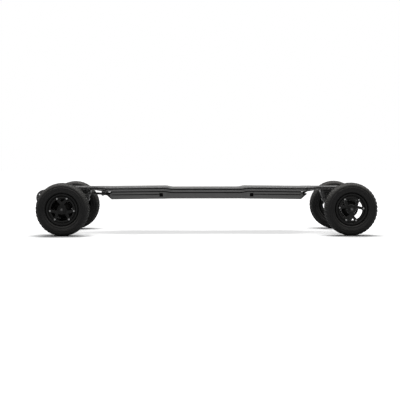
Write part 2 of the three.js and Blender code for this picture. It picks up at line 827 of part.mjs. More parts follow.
function tyre(y) {
  return turned(tyreSection(), tyreSegments, 0, y, axleHeight);
}

// A hole in an outline
function windowOutline(points) {
  return new THREE.Path(points.map(([x, y]) => new THREE.Vector2(x, y)));
}

const polar = (radius, angle) => [radius * Math.cos(angle), radius * Math.sin(angle)];

// The spoke disc: three forked spokes, so three wide windows and three small ones
function spokeDisc(turn, low, high) {
  const edge = (rimInnerRadius + rimSeatRadius) / 2;
  const corner = (i) => polar(edge, (2 * Math.PI * i) / tyreSegments);
  const shape = outline(Array.from({ length: tyreSegments }, (_, i) => corner(i)));
  const armSlip = Math.asin(spokeWidth / windowOuterRadius);
  const wideFootShare = 0.42;
  const smallFootShare = 1.2;
  for (let i = 0; i < spokePairs; i += 1) {
    const middle = turn + (2 * Math.PI * i) / spokePairs;
    const wideMiddle = middle + Math.PI / spokePairs;
    const smallHalf = spokeSpread - armSlip / 2;
    const wideHalf = Math.PI / spokePairs - spokeSpread - armSlip / 2;
    const small = [polar(spokeForkRadius + smallFootShare * spokeWidth, middle)];
    const wide = [
      polar(hubRadius + spokeWidth, wideMiddle + wideHalf * wideFootShare),
      polar(hubRadius + spokeWidth / 2, wideMiddle),
      polar(hubRadius + spokeWidth, wideMiddle - wideHalf * wideFootShare),
    ];
    for (let k = 0; k <= windowFacets; k += 1) {
      const along = (2 * k) / windowFacets - 1;
      if (k % 2 === 0) small.push(polar(windowOuterRadius, middle + smallHalf * along));
      wide.push(polar(windowOuterRadius, wideMiddle + wideHalf * along));
    }
    shape.holes.push(windowOutline(small), windowOutline(wide));
  }
  return across(shape, low, high);
}

// The rim: barrel with flanges, spoke disc near the outer face, hub with an inner flange.
// It is drawn as its wheel came to rest, rolled on by some degrees
function rim(y, outward, turn, restDegrees) {
  const neck = rimNeckHalf;
  const well = rimHalfWidth / 2;
  const wall = rimWall;
  const barrel = turned([
    [rimFlangeRadius - wall, rimHalfWidth], [rimFlangeRadius, rimHalfWidth],
    [rimFlangeRadius, neck], [rimSeatRadius, neck], [rimSeatRadius, -neck],
    [rimFlangeRadius, -neck], [rimFlangeRadius, -rimHalfWidth], [rimFlangeRadius - wall, -rimHalfWidth],
    [rimInnerRadius, -well], [rimInnerRadius, well], [rimFlangeRadius - wall, rimHalfWidth],
  ], tyreSegments);
  const faceHigh = rimHalfWidth - spokeFaceInset;
  const disc = spokeDisc(turn, faceHigh - spokeThickness, faceHigh);
  const inner = -hubHalfWidth;
  const hub = turned([
    [0, inner], [hubFlangeRadius, inner], [hubFlangeRadius, inner + hubFlangeThickness],
    [hubRadius, inner + 2 * hubFlangeThickness], [hubRadius, hubHalfWidth], [0, hubHalfWidth],
  ], smallSides);
  const bore = rod(new THREE.Vector3(), sideways, -hubHalfWidth - cutOverrun,
    hubHalfWidth + cutOverrun, bearingRadius + bearingFit, smallSides);
  const body = cut(join(barrel, disc, hub), bore);
  const faced = outward > 0 ? body : body.mirror([0, 1, 0]);
  return faced.rotate([0, restDegrees, 0]).translate([0, y, axleHeight]);
}

function bearings(y) {
  const end = hubHalfWidth;
  const neck = end - bearingWidth;
  const bore = axleEndRadius + axleFit;
  return turned([
    [bore, -end], [bearingRadius, -end], [bearingRadius, -neck], [spacerRadius, -neck],
    [spacerRadius, neck], [bearingRadius, neck], [bearingRadius, end], [bore, end], [bore, -end],
  ], smallSides, 0, y, axleHeight);
}

function axleNut(y, outward) {
  const [low, high] = [seatGap, seatGap + nutHeight];
  const from = new THREE.Vector3(0, y + outward * hubHalfWidth, axleHeight);
  const along = new THREE.Vector3(0, outward, 0);
  return cut(rod(from, along, low, high, nutRadius, hexSides),
    rod(from, along, low - cutOverrun, high + cutOverrun, axleEndRadius + axleFit, smallSides));
}

// A loop round two circles on the drive line, wider one on the axle
function driveLoop(axleRadius, motorLoopRadius) {
  const lean = Math.acos((axleRadius - motorLoopRadius) / driveDistance);
  const tightCentre = polar(driveDistance, driveAngle);
  const points = [];
  for (let i = 0; i <= wideLoopFacets; i += 1) {
    const angle = driveAngle + lean + (2 * (Math.PI - lean) * i) / wideLoopFacets;
    points.push(polar(axleRadius, angle));
  }
  for (let i = 0; i <= tightLoopFacets; i += 1) {
    const angle = driveAngle - lean + (2 * lean * i) / tightLoopFacets;
    const [x, z] = polar(motorLoopRadius, angle);
    points.push([tightCentre[0] + x, tightCentre[1] + z]);
  }
  return points;
}

const atAxle = (point) => [point[0], point[1] + axleHeight];

// Places something built at the motor's own centre
const motorCentre = new THREE.Vector3(motorBack, 0, axleHeight + motorRise);

// Carries low and high distances from the middle to one side
function span(side, low, high) {
  return side > 0 ? [low, high] : [-high, -low];
}

function motor(side) {
  const [low, high] = [motorInnerY, motorOuterY];
  const profile = [
    [0, low], [motorRadius - motorEdge, low], [motorRadius, low + motorEdge],
    [motorRadius, high - motorEdge], [motorRadius - motorEdge / 2, high],
    [motorShaftRadius + motorShaftFit, high],
    [motorShaftRadius + motorShaftFit, high - motorShaftDepth - seatGap],
    [0, high - motorShaftDepth - seatGap],
  ];
  const placed = profile.map(([r, y]) => [r, side * y]);
  return turned(placed, largeSides, motorCentre.x, 0, motorCentre.z);
}

function motorMount(side) {
  const shape = outline(driveLoop(mountHubRadius, motorRadius - motorEdge / 2).map(atAxle));
  const plate = across(shape, ...span(side, mountInnerY, mountOuterY));
  const hubRange = span(side, mountInnerY - mountHubLength, mountOuterY);
  const hub = rod(axleCentre, sideways, ...hubRange, mountHubRadius, smallSides);
  const long = [hubRange[0] - cutOverrun, hubRange[1] + cutOverrun];
  return cut(join(plate, hub),
    rod(axleCentre, sideways, ...long, hangerBeamRadius + mountBeamFit),
    rod(motorCentre, sideways, ...long, motorShaftRadius + mountShaftRoom, smallSides));
}

// A toothed outline, one tip and one root for each tooth
function toothedPoints(count, tipRadius) {
  const pitch = (2 * Math.PI) / count;
  const points = [];
  for (let i = 0; i < count; i += 1) {
    const start = i * pitch;
    points.push(polar(tipRadius, start), polar(tipRadius - toothDepth, start + pitch / 2));
  }
  return points;
}

function motorPinion(side) {
  const teeth = across(outline(toothedPoints(pinionTeeth, pinionTipRadius)),
    ...span(side, beltInnerY - beltSideGap, beltOuterY + beltSideGap));
  const placed = teeth.translate([motorCentre.x, 0, motorCentre.z]);
  const shaftEnd = beltOuterY + beltSideGap + seatGap;
  const shaft = rod(motorCentre, sideways,
    ...span(side, motorOuterY - motorShaftDepth, shaftEnd), motorShaftRadius, boreSides);
  return join(placed, shaft);
}

function driveBelt(side) {
  const inner = driveLoop(pulleyTipRadius + beltGap, pinionTipRadius + beltGap);
  const outer = driveLoop(pulleyTipRadius + beltGap + beltThickness,
    pinionTipRadius + beltGap + beltThickness);
  const shape = outline(outer.map(atAxle));
  shape.holes.push(windowOutline(inner.map(atAxle)));
  return across(shape, ...span(side, beltInnerY, beltOuterY));
}

function wheelPulley(side) {
  const low = beltInnerY - beltSideGap;
  const high = beltOuterY + beltSideGap;
  const teeth = across(outline(toothedPoints(pulleyTeeth, pulleyTipRadius)), ...span(side, low, high));
  const placed = teeth.translate([0, 0, axleHeight]);
  const hollow = pulleyTipRadius - toothDepth - pulleyRimThickness;
  const webHigh = low + pulleyWebThickness;
  const sleeveEnd = wheelInnerY - seatGap;
  const hollowOut = rod(axleCentre, sideways, ...span(side, webHigh, high + cutOverrun), hollow,
    largeSides);
  const sleeve = rod(axleCentre, sideways, ...span(side, low, sleeveEnd), hubFlangeRadius);
  const bore = rod(axleCentre, sideways, ...span(side, low - cutOverrun, sleeveEnd + cutOverrun),
    pulleySleeveBore);
  const holes = [];
  const holeCircle = (hollow + hubFlangeRadius) / 2;
  for (let i = 0; i < pulleyHoles; i += 1) {
    const [x, z] = polar(holeCircle, (2 * Math.PI * i) / pulleyHoles);
    holes.push(rod(new THREE.Vector3(x, 0, axleHeight + z), sideways,
      ...span(side, low - cutOverrun, high), pulleyHoleRadius, boreSides));
  }
  return cut(join(cut(placed, hollowOut), sleeve), bore, ...holes);
}

// A lead between two pieces: a round tube along its own points
function lead(points, side) {
  const path = new THREE.CatmullRomCurve3(
    points.map(([u, y, rise]) => new THREE.Vector3(u, side * y, axleHeight + rise)));
  const section = new THREE.Shape();
  section.absarc(0, 0, leadRadius, 0, 2 * Math.PI);
  const ring = section.getSpacedPoints(leadSides).slice(0, leadSides);
  const geometry = new THREE.ExtrudeGeometry(new THREE.Shape(ring), {
    steps: Math.ceil(path.getLength() / leadStep), extrudePath: path, bevelEnabled: false,
  });
  return solid(geometry);
}

// Points along each lead, chosen by hand: distance outwards from the axle, distance from the middle,
// and height above the axle
const innerLeadPoints = [
  [-155, 34, 43.5], [-138, 34, 43.5], [-119, 34, 45.9], [-98, 34, 47.4], [-76, 34, 48],
  [-58, 31, 45.6], [-40, 24, 38], [-26, 16.4, 31.8], [-11.7, 14.2, 30.6],
];
const outerLeadPoints = [
  [-10.7, 14.2, 30.6], [2, 15.6, 31.6], [16, 21, 36], [32, 26, 41], [48, 30, 41.5],
  [61, 35, 38.6], [67, 42, 36.4], [68, 50.6, 36],
];

// A saddle clip that holds a lead under the deck
function leadClip(side) {
  const centre = new THREE.Vector3(clipU, side * leadY, leadExitZ + clipRise);
  const along = new THREE.Vector3(1, 0, 0);
  const bore = leadRadius + leadGlandGap;
  const ring = rod(centre, along, -clipHalfLength, clipHalfLength, bore + clipWall, smallSides);
  const top = undersideAt(axleX + clipU - clipHalfLength) - seatGap;
  const stem = block([clipU - clipHalfLength, centre.y - clipWall, centre.z],
    [clipU + clipHalfLength, centre.y + clipWall, top]);
  const foot = block([clipU - clipHalfLength, centre.y - clipFootHalf, top - clipWall],
    [clipU + clipHalfLength, centre.y + clipFootHalf, top]);
  return cut(join(ring, stem, foot), rod(centre, along, -clipHalfLength - cutOverrun,
    clipHalfLength + cutOverrun, bore, boreSides));
}

// One truck, on its own axle
function truck(end) {
  const group = new THREE.Group();
  group.add(
    piece(`${end}_baseplate`, baseplate(), 'forged'),
    piece(`${end}_inner_kingpin`, kingpin(innerSeat), 'steel'),
    piece(`${end}_inner_bushing_board`, bushing(innerSeat, 1), 'urethane'),
    piece(`${end}_inner_bushing_road`, bushing(innerSeat, -1), 'urethane'),
    piece(`${end}_carrier`, carrier(), 'forged'),
    piece(`${end}_outer_kingpin`, kingpin(outerSeat), 'steel'),
    piece(`${end}_outer_bushing_board`, bushing(outerSeat, 1), 'urethane'),
    piece(`${end}_outer_bushing_road`, bushing(outerSeat, -1), 'urethane'),
    piece(`${end}_hanger`, hanger(), 'forged'),
    piece(`${end}_axle`, axle(), 'steel'));
  return group;
}

function wheel(name, side, turn, restDegrees = 0) {
  const y = side * axleHalfSpan;
  const group = new THREE.Group();
  group.add(
    piece(`${name}_tyre`, tyre(y), 'rubber'),
    piece(`${name}_rim`, rim(y, side, turn, restDegrees), 'rim'),
    piece(`${name}_bearings`, bearings(y), 'steel'),
    piece(`${name}_axle_nut`, axleNut(y, side), 'steel'));
  return group;
}

function drive(name, side) {
  const group = new THREE.Group();
  group.add(
    piece(`${name}_motor`, motor(side), 'motor'),
    piece(`${name}_motor_mount`, motorMount(side), 'forged'),
    piece(`${name}_motor_pinion`, motorPinion(side), 'steel'),
    piece(`${name}_drive_belt`, driveBelt(side), 'belt'),
    piece(`${name}_wheel_pulley`, wheelPulley(side), 'rim'),
    piece(`${name}_inner_lead`, lead(innerLeadPoints, side), 'belt'),
    piece(`${name}_outer_lead`, lead(outerLeadPoints, side), 'belt'),
    piece(`${name}_lead_clip`, leadClip(side), 'tray'));
  return group;
}

function deck() {
  const group = new THREE.Group();
  group.add(
    piece('deck_board', deckBoard(), 'carbon'),
    piece('grip_sheet', gripSheet(), 'grip'),
    piece('battery_enclosure', batteryEnclosure(), 'tray'),
    piece('battery_pack', batteryPack(), 'cells'),
    piece('speed_controller', speedController(), 'board'),
    piece('power_button', powerButton(), 'steel'),
    piece('charge_socket', chargeSocket(), 'belt'),
    piece('charge_port_cap', chargePortCap(), 'rubber'));
  return group;
}

// The rear end is the front end turned half round, so its own left is the board's right
function frontEnd() {
  const group = new THREE.Group();
  group.add(truck('front'), wheel('front_left', 1, frontSpokeTurn, frontLeftRestDegrees),
    wheel('front_right', -1, frontSpokeTurn));
  group.position.x = axleX;
  return group;
}

function rearEnd() {
  const group = new THREE.Group();
  const turn = Math.PI - rearSpokeTurn;
  group.add(truck('rear'), wheel('rear_right', 1, turn), wheel('rear_left', -1, turn),
    drive('right', 1), drive('left', -1));
  group.rotation.z = Math.PI;
  group.position.x = -axleX;
  return group;
}

const board = new THREE.Group();
board.name = 'electric_mountainboard';
board.add(deck(), frontEnd(), rearEnd());
board.position.x = boardShift;

export default board;
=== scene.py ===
# %% [markdown]
# ## An electric mountainboard, dressed for its portrait
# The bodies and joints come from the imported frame, in metres, with +X to the front, +Y to the rider's left
# and +Z up. Every visible piece is rebuilt here with rounder forms and real surfaces, in the place that the
# frame gives it. Sizes below are in millimetres, because a maker reads them so, and the last step of each
# piece turns them into metres.

# %% Load the frame
import bpy
import bmesh
import math
from mathutils import Matrix, Vector


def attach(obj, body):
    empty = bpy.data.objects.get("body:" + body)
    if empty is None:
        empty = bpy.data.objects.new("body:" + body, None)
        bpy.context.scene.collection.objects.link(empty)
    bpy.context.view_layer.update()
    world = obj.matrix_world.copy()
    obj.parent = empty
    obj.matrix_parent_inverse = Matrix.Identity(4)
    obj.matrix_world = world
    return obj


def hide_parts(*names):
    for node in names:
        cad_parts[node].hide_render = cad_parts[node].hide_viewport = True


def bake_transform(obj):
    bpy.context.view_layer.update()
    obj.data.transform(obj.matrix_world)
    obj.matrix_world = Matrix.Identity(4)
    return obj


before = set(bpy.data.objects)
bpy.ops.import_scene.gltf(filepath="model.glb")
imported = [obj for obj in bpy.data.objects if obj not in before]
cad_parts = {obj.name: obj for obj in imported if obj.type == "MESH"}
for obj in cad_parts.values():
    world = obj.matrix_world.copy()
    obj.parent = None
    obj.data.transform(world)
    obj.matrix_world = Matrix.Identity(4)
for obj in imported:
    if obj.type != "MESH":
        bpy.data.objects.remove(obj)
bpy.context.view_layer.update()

# %% Common sizes
mm = 0.001
board_shift = 4.25
axle_x, axle_z, wheel_y = 475.0, 87.5, 183.0
end_signs = {"front": 1, "rear": -1}


def new_object(name, data):
    """An object that stands in the scene."""
    thing = bpy.data.objects.new(name, data)
    bpy.context.scene.collection.objects.link(thing)
    return thing


print("wheelbase", 2 * axle_x, "mm")

# %% [markdown]
# ## The camera
# A long lens looks almost square at the board's right side from 3.3 m away, a little above the deck. The near
# wheels therefore look larger than the far ones, which show inside them. The view was worked out from the
# places of the four wheels.

# %% Camera
camera_data = bpy.data.cameras.new("camera")
camera_data.lens = 83.91
camera_data.sensor_width = 36
camera = new_object("camera", camera_data)
camera.location = (-0.0592, -3.2535, 0.2325)
yaw, pitch, roll = math.radians(0.761), math.radians(2.133), math.radians(-0.055)
look = Vector((math.sin(yaw) * math.cos(pitch), math.cos(yaw) * math.cos(pitch), -math.sin(pitch)))
turn = look.to_track_quat("-Z", "Y").to_matrix() @ Matrix.Rotation(roll, 3, "Z")
camera.rotation_euler = turn.to_euler()
bpy.context.scene.camera = camera
print("camera at", tuple(camera.location))

# %% [markdown]
# ## Node helpers
# World, floor and finishes are all drawn with nodes, so a few small functions add a node and join it up.

# %% Node helpers
def feed(tree, term, socket):
    """Joins another socket to an input, or sets the input to a value."""
    if isinstance(term, (int, float, tuple)):
        socket.default_value = term
    else:
        tree.links.new(term, socket)


def add_node(tree, kind, inputs=(), **settings):
    """A node with its settings, and then with its inputs fed."""
    node = tree.nodes.new(kind)
    for name, value in settings.items():
        setattr(node, name, value)
    for label, term in dict(inputs).items():
        feed(tree, term, node.inputs[label])
    return node


def new_group(name, inputs, outputs):
    """A shader node group with named sockets; returns the tree, what comes in and what goes out."""
    tree = bpy.data.node_groups.new(name, "ShaderNodeTree")
    for label, kind, value in inputs:
        socket = tree.interface.new_socket(label, in_out="INPUT", socket_type=kind)
        socket.default_value = value
    for label, kind in outputs:
        tree.interface.new_socket(label, in_out="OUTPUT", socket_type=kind)
    return tree, add_node(tree, "NodeGroupInput").outputs, add_node(tree, "NodeGroupOutput").inputs


def sum_node(tree, operation, *terms):
    """One Math node; each term is a socket or a number."""
    return add_node(tree, "ShaderNodeMath", enumerate(terms), operation=operation).outputs[0]


def noise_node(tree, vector, scale, detail, roughness=0.55):
    """A noise texture; the scale is a socket or a number of waves a metre."""
    return add_node(tree, "ShaderNodeTexNoise", {
        "Vector": vector, "Scale": scale, "Detail": detail, "Roughness": roughness}).outputs["Fac"]


def mix_colour(tree, share, first, second):
    """One colour mix; the share and the colours are sockets or values."""
    return add_node(tree, "ShaderNodeMix", {0: share, 6: first, 7: second}, data_type="RGBA").outputs[2]


def place_node(tree, kind="Object"):
    """The place on a surface, in the object's own space or on its map."""
    return add_node(tree, "ShaderNodeTexCoord").outputs[kind]


def split_node(tree, vector):
    """The three parts of a vector."""
    return add_node(tree, "ShaderNodeSeparateXYZ", {0: vector}).outputs


def seen_rays(tree):
    """One for rays that look at a thing, and nothing for the light's own bounces."""
    rays = add_node(tree, "ShaderNodeLightPath").outputs
    direct = sum_node(tree, "MAXIMUM", rays["Is Camera Ray"], rays["Is Transmission Ray"])
    return sum_node(tree, "MAXIMUM", direct, rays["Is Glossy Ray"])


print("node helpers ready")

# %% [markdown]
# ## Light and floor
# A studio table shot: one wide soft box overhead, a weak one towards the camera, and a pale floor that fades
# into the white behind it. The floor is partly self-lit for the camera's rays, so it stays white. Its plain
# part takes the soft shadow under the board. Close to the wheels its self-light is taken away, which paints a
# darker shade round each wheel on top of the wheel's own shadow.

# %% World and lamps
bpy.context.scene.view_settings.view_transform = "Standard"
world = bpy.data.worlds.new("studio")
bpy.context.scene.world = world
world.use_nodes = True
tree = world.node_tree
tree.nodes.clear()
dim, bright = (add_node(tree, "ShaderNodeBackground", {"Strength": strength, "Color": (1, 1, 1, 1)})
               for strength in (0.22, 1.0))
both = add_node(tree, "ShaderNodeMixShader", {0: seen_rays(tree), 1: dim.outputs[0], 2: bright.outputs[0]})
add_node(tree, "ShaderNodeOutputWorld", {0: both.outputs[0]})


def soft_box(name, place, target, size, watts):
    """A rectangular lamp that points at a target."""
    data = bpy.data.lights.new(name, "AREA")
    data.shape = "RECTANGLE"
    data.size, data.size_y = size
    data.energy = watts
    lamp = new_object(name, data)
    lamp.location = place
    lamp.rotation_euler = (Vector(target) - Vector(place)).to_track_quat("-Z", "Y").to_euler()


soft_box("overhead", (0, 0.25, 2.3), (0, 0, 0), (3.2, 1.6), 95)
soft_box("front_fill", (0, -3.0, 1.5), (0, 0, 0.1), (3.0, 1.0), 12)

# %% Floor
reach = 30
floor_mesh = bpy.data.meshes.new("floor")
floor_mesh.from_pydata([(-reach, -reach, 0), (reach, -reach, 0), (reach, reach, 0), (-reach, reach, 0)],
                       [], [(0, 1, 2, 3)])
floor = new_object("floor", floor_mesh)
paper = bpy.data.materials.new("pale_floor")
paper.use_nodes = True
tree = paper.node_tree
tree.nodes.clear()


def ramp_node(tree, value, low, high, start, end):
    """A soft ramp from start to end while the value goes from low to high."""
    return add_node(tree, "ShaderNodeMapRange", {
        "Value": value, "From Min": low, "From Max": high, "To Min": start, "To Max": end},
        interpolation_type="SMOOTHSTEP").outputs["Result"]


def length_node(tree, vector):
    """How long a vector is."""
    return add_node(tree, "ShaderNodeVectorMath", {0: vector}, operation="LENGTH").outputs["Value"]


spot = place_node(tree)
apart = split_node(tree, spot)
middle_x = sum_node(tree, "SUBTRACT", apart["X"], board_shift * mm)
to_wheel = add_node(tree, "ShaderNodeCombineXYZ", {
    label: sum_node(tree, "SUBTRACT", sum_node(tree, "ABSOLUTE", value), place * mm)
    for label, value, place in (("X", middle_x, axle_x), ("Y", apart["Y"], wheel_y))}).outputs[0]
far = ramp_node(tree, length_node(tree, spot), 0.7, 1.6, 0.66, 1.0)
# Painted shade: the floor's self-light falls to nothing within 5 to 17 cm of each wheel's contact.
near = ramp_node(tree, length_node(tree, to_wheel), 0.05, 0.17, 0.0, 1.0)
strength = sum_node(tree, "MULTIPLY", seen_rays(tree), sum_node(tree, "MULTIPLY", far, near))
plain = add_node(tree, "ShaderNodeBsdfDiffuse", {"Color": (0.62, 0.62, 0.62, 1)})
glow = add_node(tree, "ShaderNodeEmission", {"Strength": strength})
total = add_node(tree, "ShaderNodeAddShader", {0: plain.outputs[0], 1: glow.outputs[0]})
add_node(tree, "ShaderNodeOutputMaterial", {0: total.outputs[0]})
floor_mesh.materials.append(paper)
print("floor is", 2 * reach, "m wide")

# %% [markdown]
# ## Shared surface effects
# Moulded plastic, rubber and painted metal differ in colour and gloss, but all of them carry the same kinds
# of small change: a fine grain, broader patches where hands and road have polished or dulled them, and dust
# that settles on what faces up. Each effect is a node group with its own values in each material, and it puts
# out only colours, roughness and height. The shader itself stays in the material.

# %% Worn surface group
F, C = "NodeSocketFloat", "NodeSocketColor"
dust_colour = (0.30, 0.29, 0.27, 1)
worn, given, result = new_group("worn_surface", [
    ("Colour", C, (0.02, 0.02, 0.02, 1)), ("Worn Colour", C, (0.05, 0.05, 0.05, 1)),
    ("Roughness", F, 0.5), ("Roughness Spread", F, 0.15),
    ("Grain Scale", F, 900.0), ("Patch Scale", F, 24.0), ("Wear", F, 0.3), ("Dust", F, 0.1),
], [("Colour", C), ("Roughness", F), ("Height", F)])
fine = noise_node(worn, place_node(worn), given["Grain Scale"], 3.0)
patch = noise_node(worn, place_node(worn), given["Patch Scale"], 6.0, 0.65)
lifted = sum_node(worn, "MAXIMUM", sum_node(worn, "MULTIPLY_ADD", patch, 3.2, -1.35), 0.0)
rubbed = sum_node(worn, "MULTIPLY", sum_node(worn, "SMOOTH_MIN", lifted, 1.0, 0.1), given["Wear"])
coloured = mix_colour(worn, rubbed, given["Colour"], given["Worn Colour"])
facing = split_node(worn, add_node(worn, "ShaderNodeNewGeometry").outputs["Normal"])
upward = sum_node(worn, "MAXIMUM", facing["Z"], 0.0)
settled = sum_node(worn, "MULTIPLY", sum_node(worn, "MULTIPLY", upward, patch), given["Dust"])
swing = sum_node(worn, "ADD", sum_node(worn, "SUBTRACT", patch, 0.5),
                 sum_node(worn, "MULTIPLY_ADD", fine, 0.5, -0.25))
rough = sum_node(worn, "MULTIPLY_ADD", swing, given["Roughness Spread"], given["Roughness"])
feed(worn, mix_colour(worn, settled, coloured, dust_colour), result["Colour"])
feed(worn, rough, result["Roughness"])
feed(worn, fine, result["Height"])
print("group", worn.name)

# %% [markdown]
# ### Woven carbon
# The laminate's outer ply is a 2 by 2 twill: each tow passes over two and under two, and every row steps on
# by one, which draws the diagonal. Counting tows across and along with a floor function, adding the counts
# and taking the remainder by four gives the crossing that lies on top.

# %% Twill group
twill, given, result = new_group("carbon_twill", [("Tow", F, 0.002)], [("Over", F), ("Height", F)])
apart = split_node(twill, place_node(twill))
a = sum_node(twill, "DIVIDE", apart["X"], given["Tow"])
b = sum_node(twill, "DIVIDE", sum_node(twill, "ADD", apart["Y"], apart["Z"]), given["Tow"])
step = sum_node(twill, "ADD", sum_node(twill, "FLOOR", a), sum_node(twill, "FLOOR", b))
over = sum_node(twill, "LESS_THAN", sum_node(twill, "FLOORED_MODULO", step, 4.0), 1.5)
across, along = (sum_node(twill, "PINGPONG", tows, 0.5) for tows in (a, b))
round_off = add_node(twill, "ShaderNodeMix", {0: over, 2: across, 3: along})
feed(twill, over, result["Over"])
feed(twill, round_off.outputs[0], result["Height"])
print("group", twill.name)

# %% [markdown]
# ### Grit and braid
# Grip sheet is mineral grit in glue: sharp cells of different heights, a few of them painted lighter as
# painted glints. The motor leads wear a braided sleeve, whose crossing threads follow the lead, so it reads
# the lead's own map.

# %% Grit and braid groups
grit, given, result = new_group("grit", [("Scale", F, 900.0)], [("Shade", F), ("Height", F)])
cells = add_node(grit, "ShaderNodeTexVoronoi", {"Vector": place_node(grit), "Scale": given["Scale"]})
tone = add_node(grit, "ShaderNodeSeparateColor", {0: cells.outputs["Color"]})
feed(grit, tone.outputs[0], result["Shade"])
feed(grit, sum_node(grit, "MULTIPLY_ADD", cells.outputs["Distance"], -1.0, 1.0), result["Height"])

braid, given, result = new_group("braid", [("Threads", F, 10.0)], [("Height", F)])
apart = split_node(braid, place_node(braid, "UV"))
slants = (sum_node(braid, operation, apart["X"], apart["Y"]) for operation in ("ADD", "SUBTRACT"))
ridges = (sum_node(braid, "PINGPONG", sum_node(braid, "MULTIPLY", slant, given["Threads"]), 0.5)
          for slant in slants)
feed(braid, sum_node(braid, "MAXIMUM", *ridges), result["Height"])
print("groups", grit.name, braid.name)

# %% [markdown]
# ## The finishes
# One helper builds a material from the worn surface group and a Principled shader, with its constants set on
# the shader's own sockets. The laminate, the grip sheet and the lead sleeve then add their own pattern.

# %% Material helper
def grey(value):
    """A neutral colour, or a colour as it is."""
    return value if isinstance(value, tuple) else (value, value, value, 1)


def finish(name, colour, worn_colour, roughness, spread, grain, patches, wear, dust, metallic=0.0,
           specular=0.5, coat=0.0, slot=None):
    """A material with grain, patches of wear and settled dust. The frame's plain one gives up its name."""
    if name in bpy.data.materials:
        bpy.data.materials[name].name = f"plain_{name}"
    mat = bpy.data.materials.new(name)
    if slot:
        mat["slot"] = slot
    mat.use_nodes = True
    tree = mat.node_tree
    surface = add_node(tree, "ShaderNodeGroup", {
        "Colour": grey(colour), "Worn Colour": grey(worn_colour), "Roughness": roughness,
        "Roughness Spread": spread, "Grain Scale": grain, "Patch Scale": patches, "Wear": wear,
        "Dust": dust}, name="surface", node_tree=worn).outputs
    relief = add_node(tree, "ShaderNodeBump", {
        "Height": surface["Height"], "Strength": 0.6, "Distance": 0.00008}, name="relief")
    for label, term in (("Metallic", metallic), ("Specular IOR Level", specular), ("Coat Weight", coat),
                        ("Coat Roughness", 0.25), ("Base Color", surface["Colour"]),
                        ("Roughness", surface["Roughness"]), ("Normal", relief.outputs["Normal"])):
        feed(tree, term, tree.nodes["Principled BSDF"].inputs[label])
    return mat


print("material helper ready")

# %% Plain finishes
# Each row: colour, worn colour, roughness, its spread, grain and patches a metre, wear, dust.
tyre_rubber = finish("tyre_rubber", 0.007, 0.014, 0.62, 0.2, 700, 18, 0.5, 0.35, specular=0.12)
rim_plastic = finish("rim_plastic", 0.006, 0.014, 0.42, 0.15, 1500, 30, 0.3, 0.1, specular=0.1)
tray_plastic = finish("enclosure_plastic", 0.095, 0.13, 0.46, 0.12, 1800, 20, 0.35, 0.1, specular=0.2)
forged_alloy = finish("forged_alloy", 0.02, 0.06, 0.42, 0.16, 1200, 40, 0.3, 0.1, metallic=0.6)
bright_steel = finish("bright_steel", 0.55, 0.36, 0.28, 0.2, 1600, 90, 0.5, 0.05, 1.0)
dull_steel = finish("dull_steel", 0.2, 0.12, 0.34, 0.2, 1600, 90, 0.5, 0.05, 1.0, slot="bright_steel")
dark_steel = finish("dark_steel", 0.05, 0.1, 0.34, 0.2, 1600, 90, 0.5, 0.05, 1.0, slot="bright_steel")
black_steel = finish("black_steel", 0.012, 0.03, 0.4, 0.2, 1600, 90, 0.4, 0.05, 1.0, slot="bright_steel")
urethane = finish("bushing_urethane", 0.035, 0.06, 0.5, 0.15, 900, 60, 0.3, 0.1, specular=0.3)
motor_case = finish("motor_case", 0.02, 0.06, 0.36, 0.14, 1500, 36, 0.3, 0.1, metallic=0.7)
belt_rubber = finish("belt_rubber", 0.008, 0.02, 0.72, 0.15, 1500, 60, 0.4, 0.1, specular=0.2)
soft_rubber = finish("soft_rubber", 0.01, 0.02, 0.7, 0.15, 1300, 60, 0.3, 0.1, specular=0.2)
# A near-black finish for strips in gaps, grooves, slots and pockets: painted shade.
black_foam = finish("black_foam", 0.003, 0.005, 0.85, 0.1, 1300, 60, 0.3, 0.02, specular=0.05,
                    slot="soft_rubber")
# A near-black copy of the enclosure plastic: painted shade for the tray's sloped ends.
end_plastic = finish("end_plastic", 0.005, 0.012, 0.6, 0.12, 1500, 60, 0.3, 0.05, specular=0.15,
                     slot="enclosure_plastic")
black_plastic = finish("black_plastic", 0.012, 0.03, 0.38, 0.12, 1500, 60, 0.3, 0.08, specular=0.3)
cell_wrap = finish("cell_wrap", (0.02, 0.07, 0.16, 1), (0.04, 0.11, 0.2, 1), 0.35, 0.12, 900, 60, 0.3,
                   0.02)
controller_case = finish("controller_case", 0.12, 0.2, 0.4, 0.15, 1400, 50, 0.3, 0.04, metallic=0.8)
carbon = finish("carbon_laminate", 0.012, 0.02, 0.4, 0.1, 1500, 14, 0.3, 0.06, coat=0.3)
grip = finish("grip_surface", 0.05, 0.09, 0.85, 0.1, 900, 10, 0.5, 0.2, specular=0.4)
lead_sleeve = finish("lead_sleeve", 0.012, 0.03, 0.6, 0.15, 1500, 60, 0.3, 0.05)
print("materials", len(bpy.data.materials))

# %% Patterns of laminate, grip sheet and lead sleeve
def add_pattern(material, group, label, value, depth):
    """Joins a pattern group to a finish, with its height as the relief."""
    tree = material.node_tree
    node = add_node(tree, "ShaderNodeGroup", node_tree=group)
    node.inputs[label].default_value = value
    relief = tree.nodes["relief"].inputs
    feed(tree, node.outputs["Height"], relief["Height"])
    feed(tree, depth, relief["Distance"])
    return tree, node.outputs


def tint(tree, share, value):
    """Mixes a grey into a finish's colour by a pattern's share."""
    shaded = mix_colour(tree, share, tree.nodes["surface"].outputs["Colour"], grey(value))
    feed(tree, shaded, tree.nodes["Principled BSDF"].inputs["Base Color"])


tree, weave = add_pattern(carbon, twill, "Tow", 0.0022, 0.00015)
tint(tree, weave["Over"], 0.035)
tree, sand = add_pattern(grip, grit, "Scale", 1100, 0.0004)
# About one grit cell in six is painted part way to a light grey: painted glints.
tint(tree, sum_node(tree, "MULTIPLY", sum_node(tree, "GREATER_THAN", sand["Shade"], 0.82), 0.5), 0.3)
add_pattern(lead_sleeve, braid, "Threads", 9, 0.0003)
print("patterns on", carbon.name, grip.name, lead_sleeve.name)

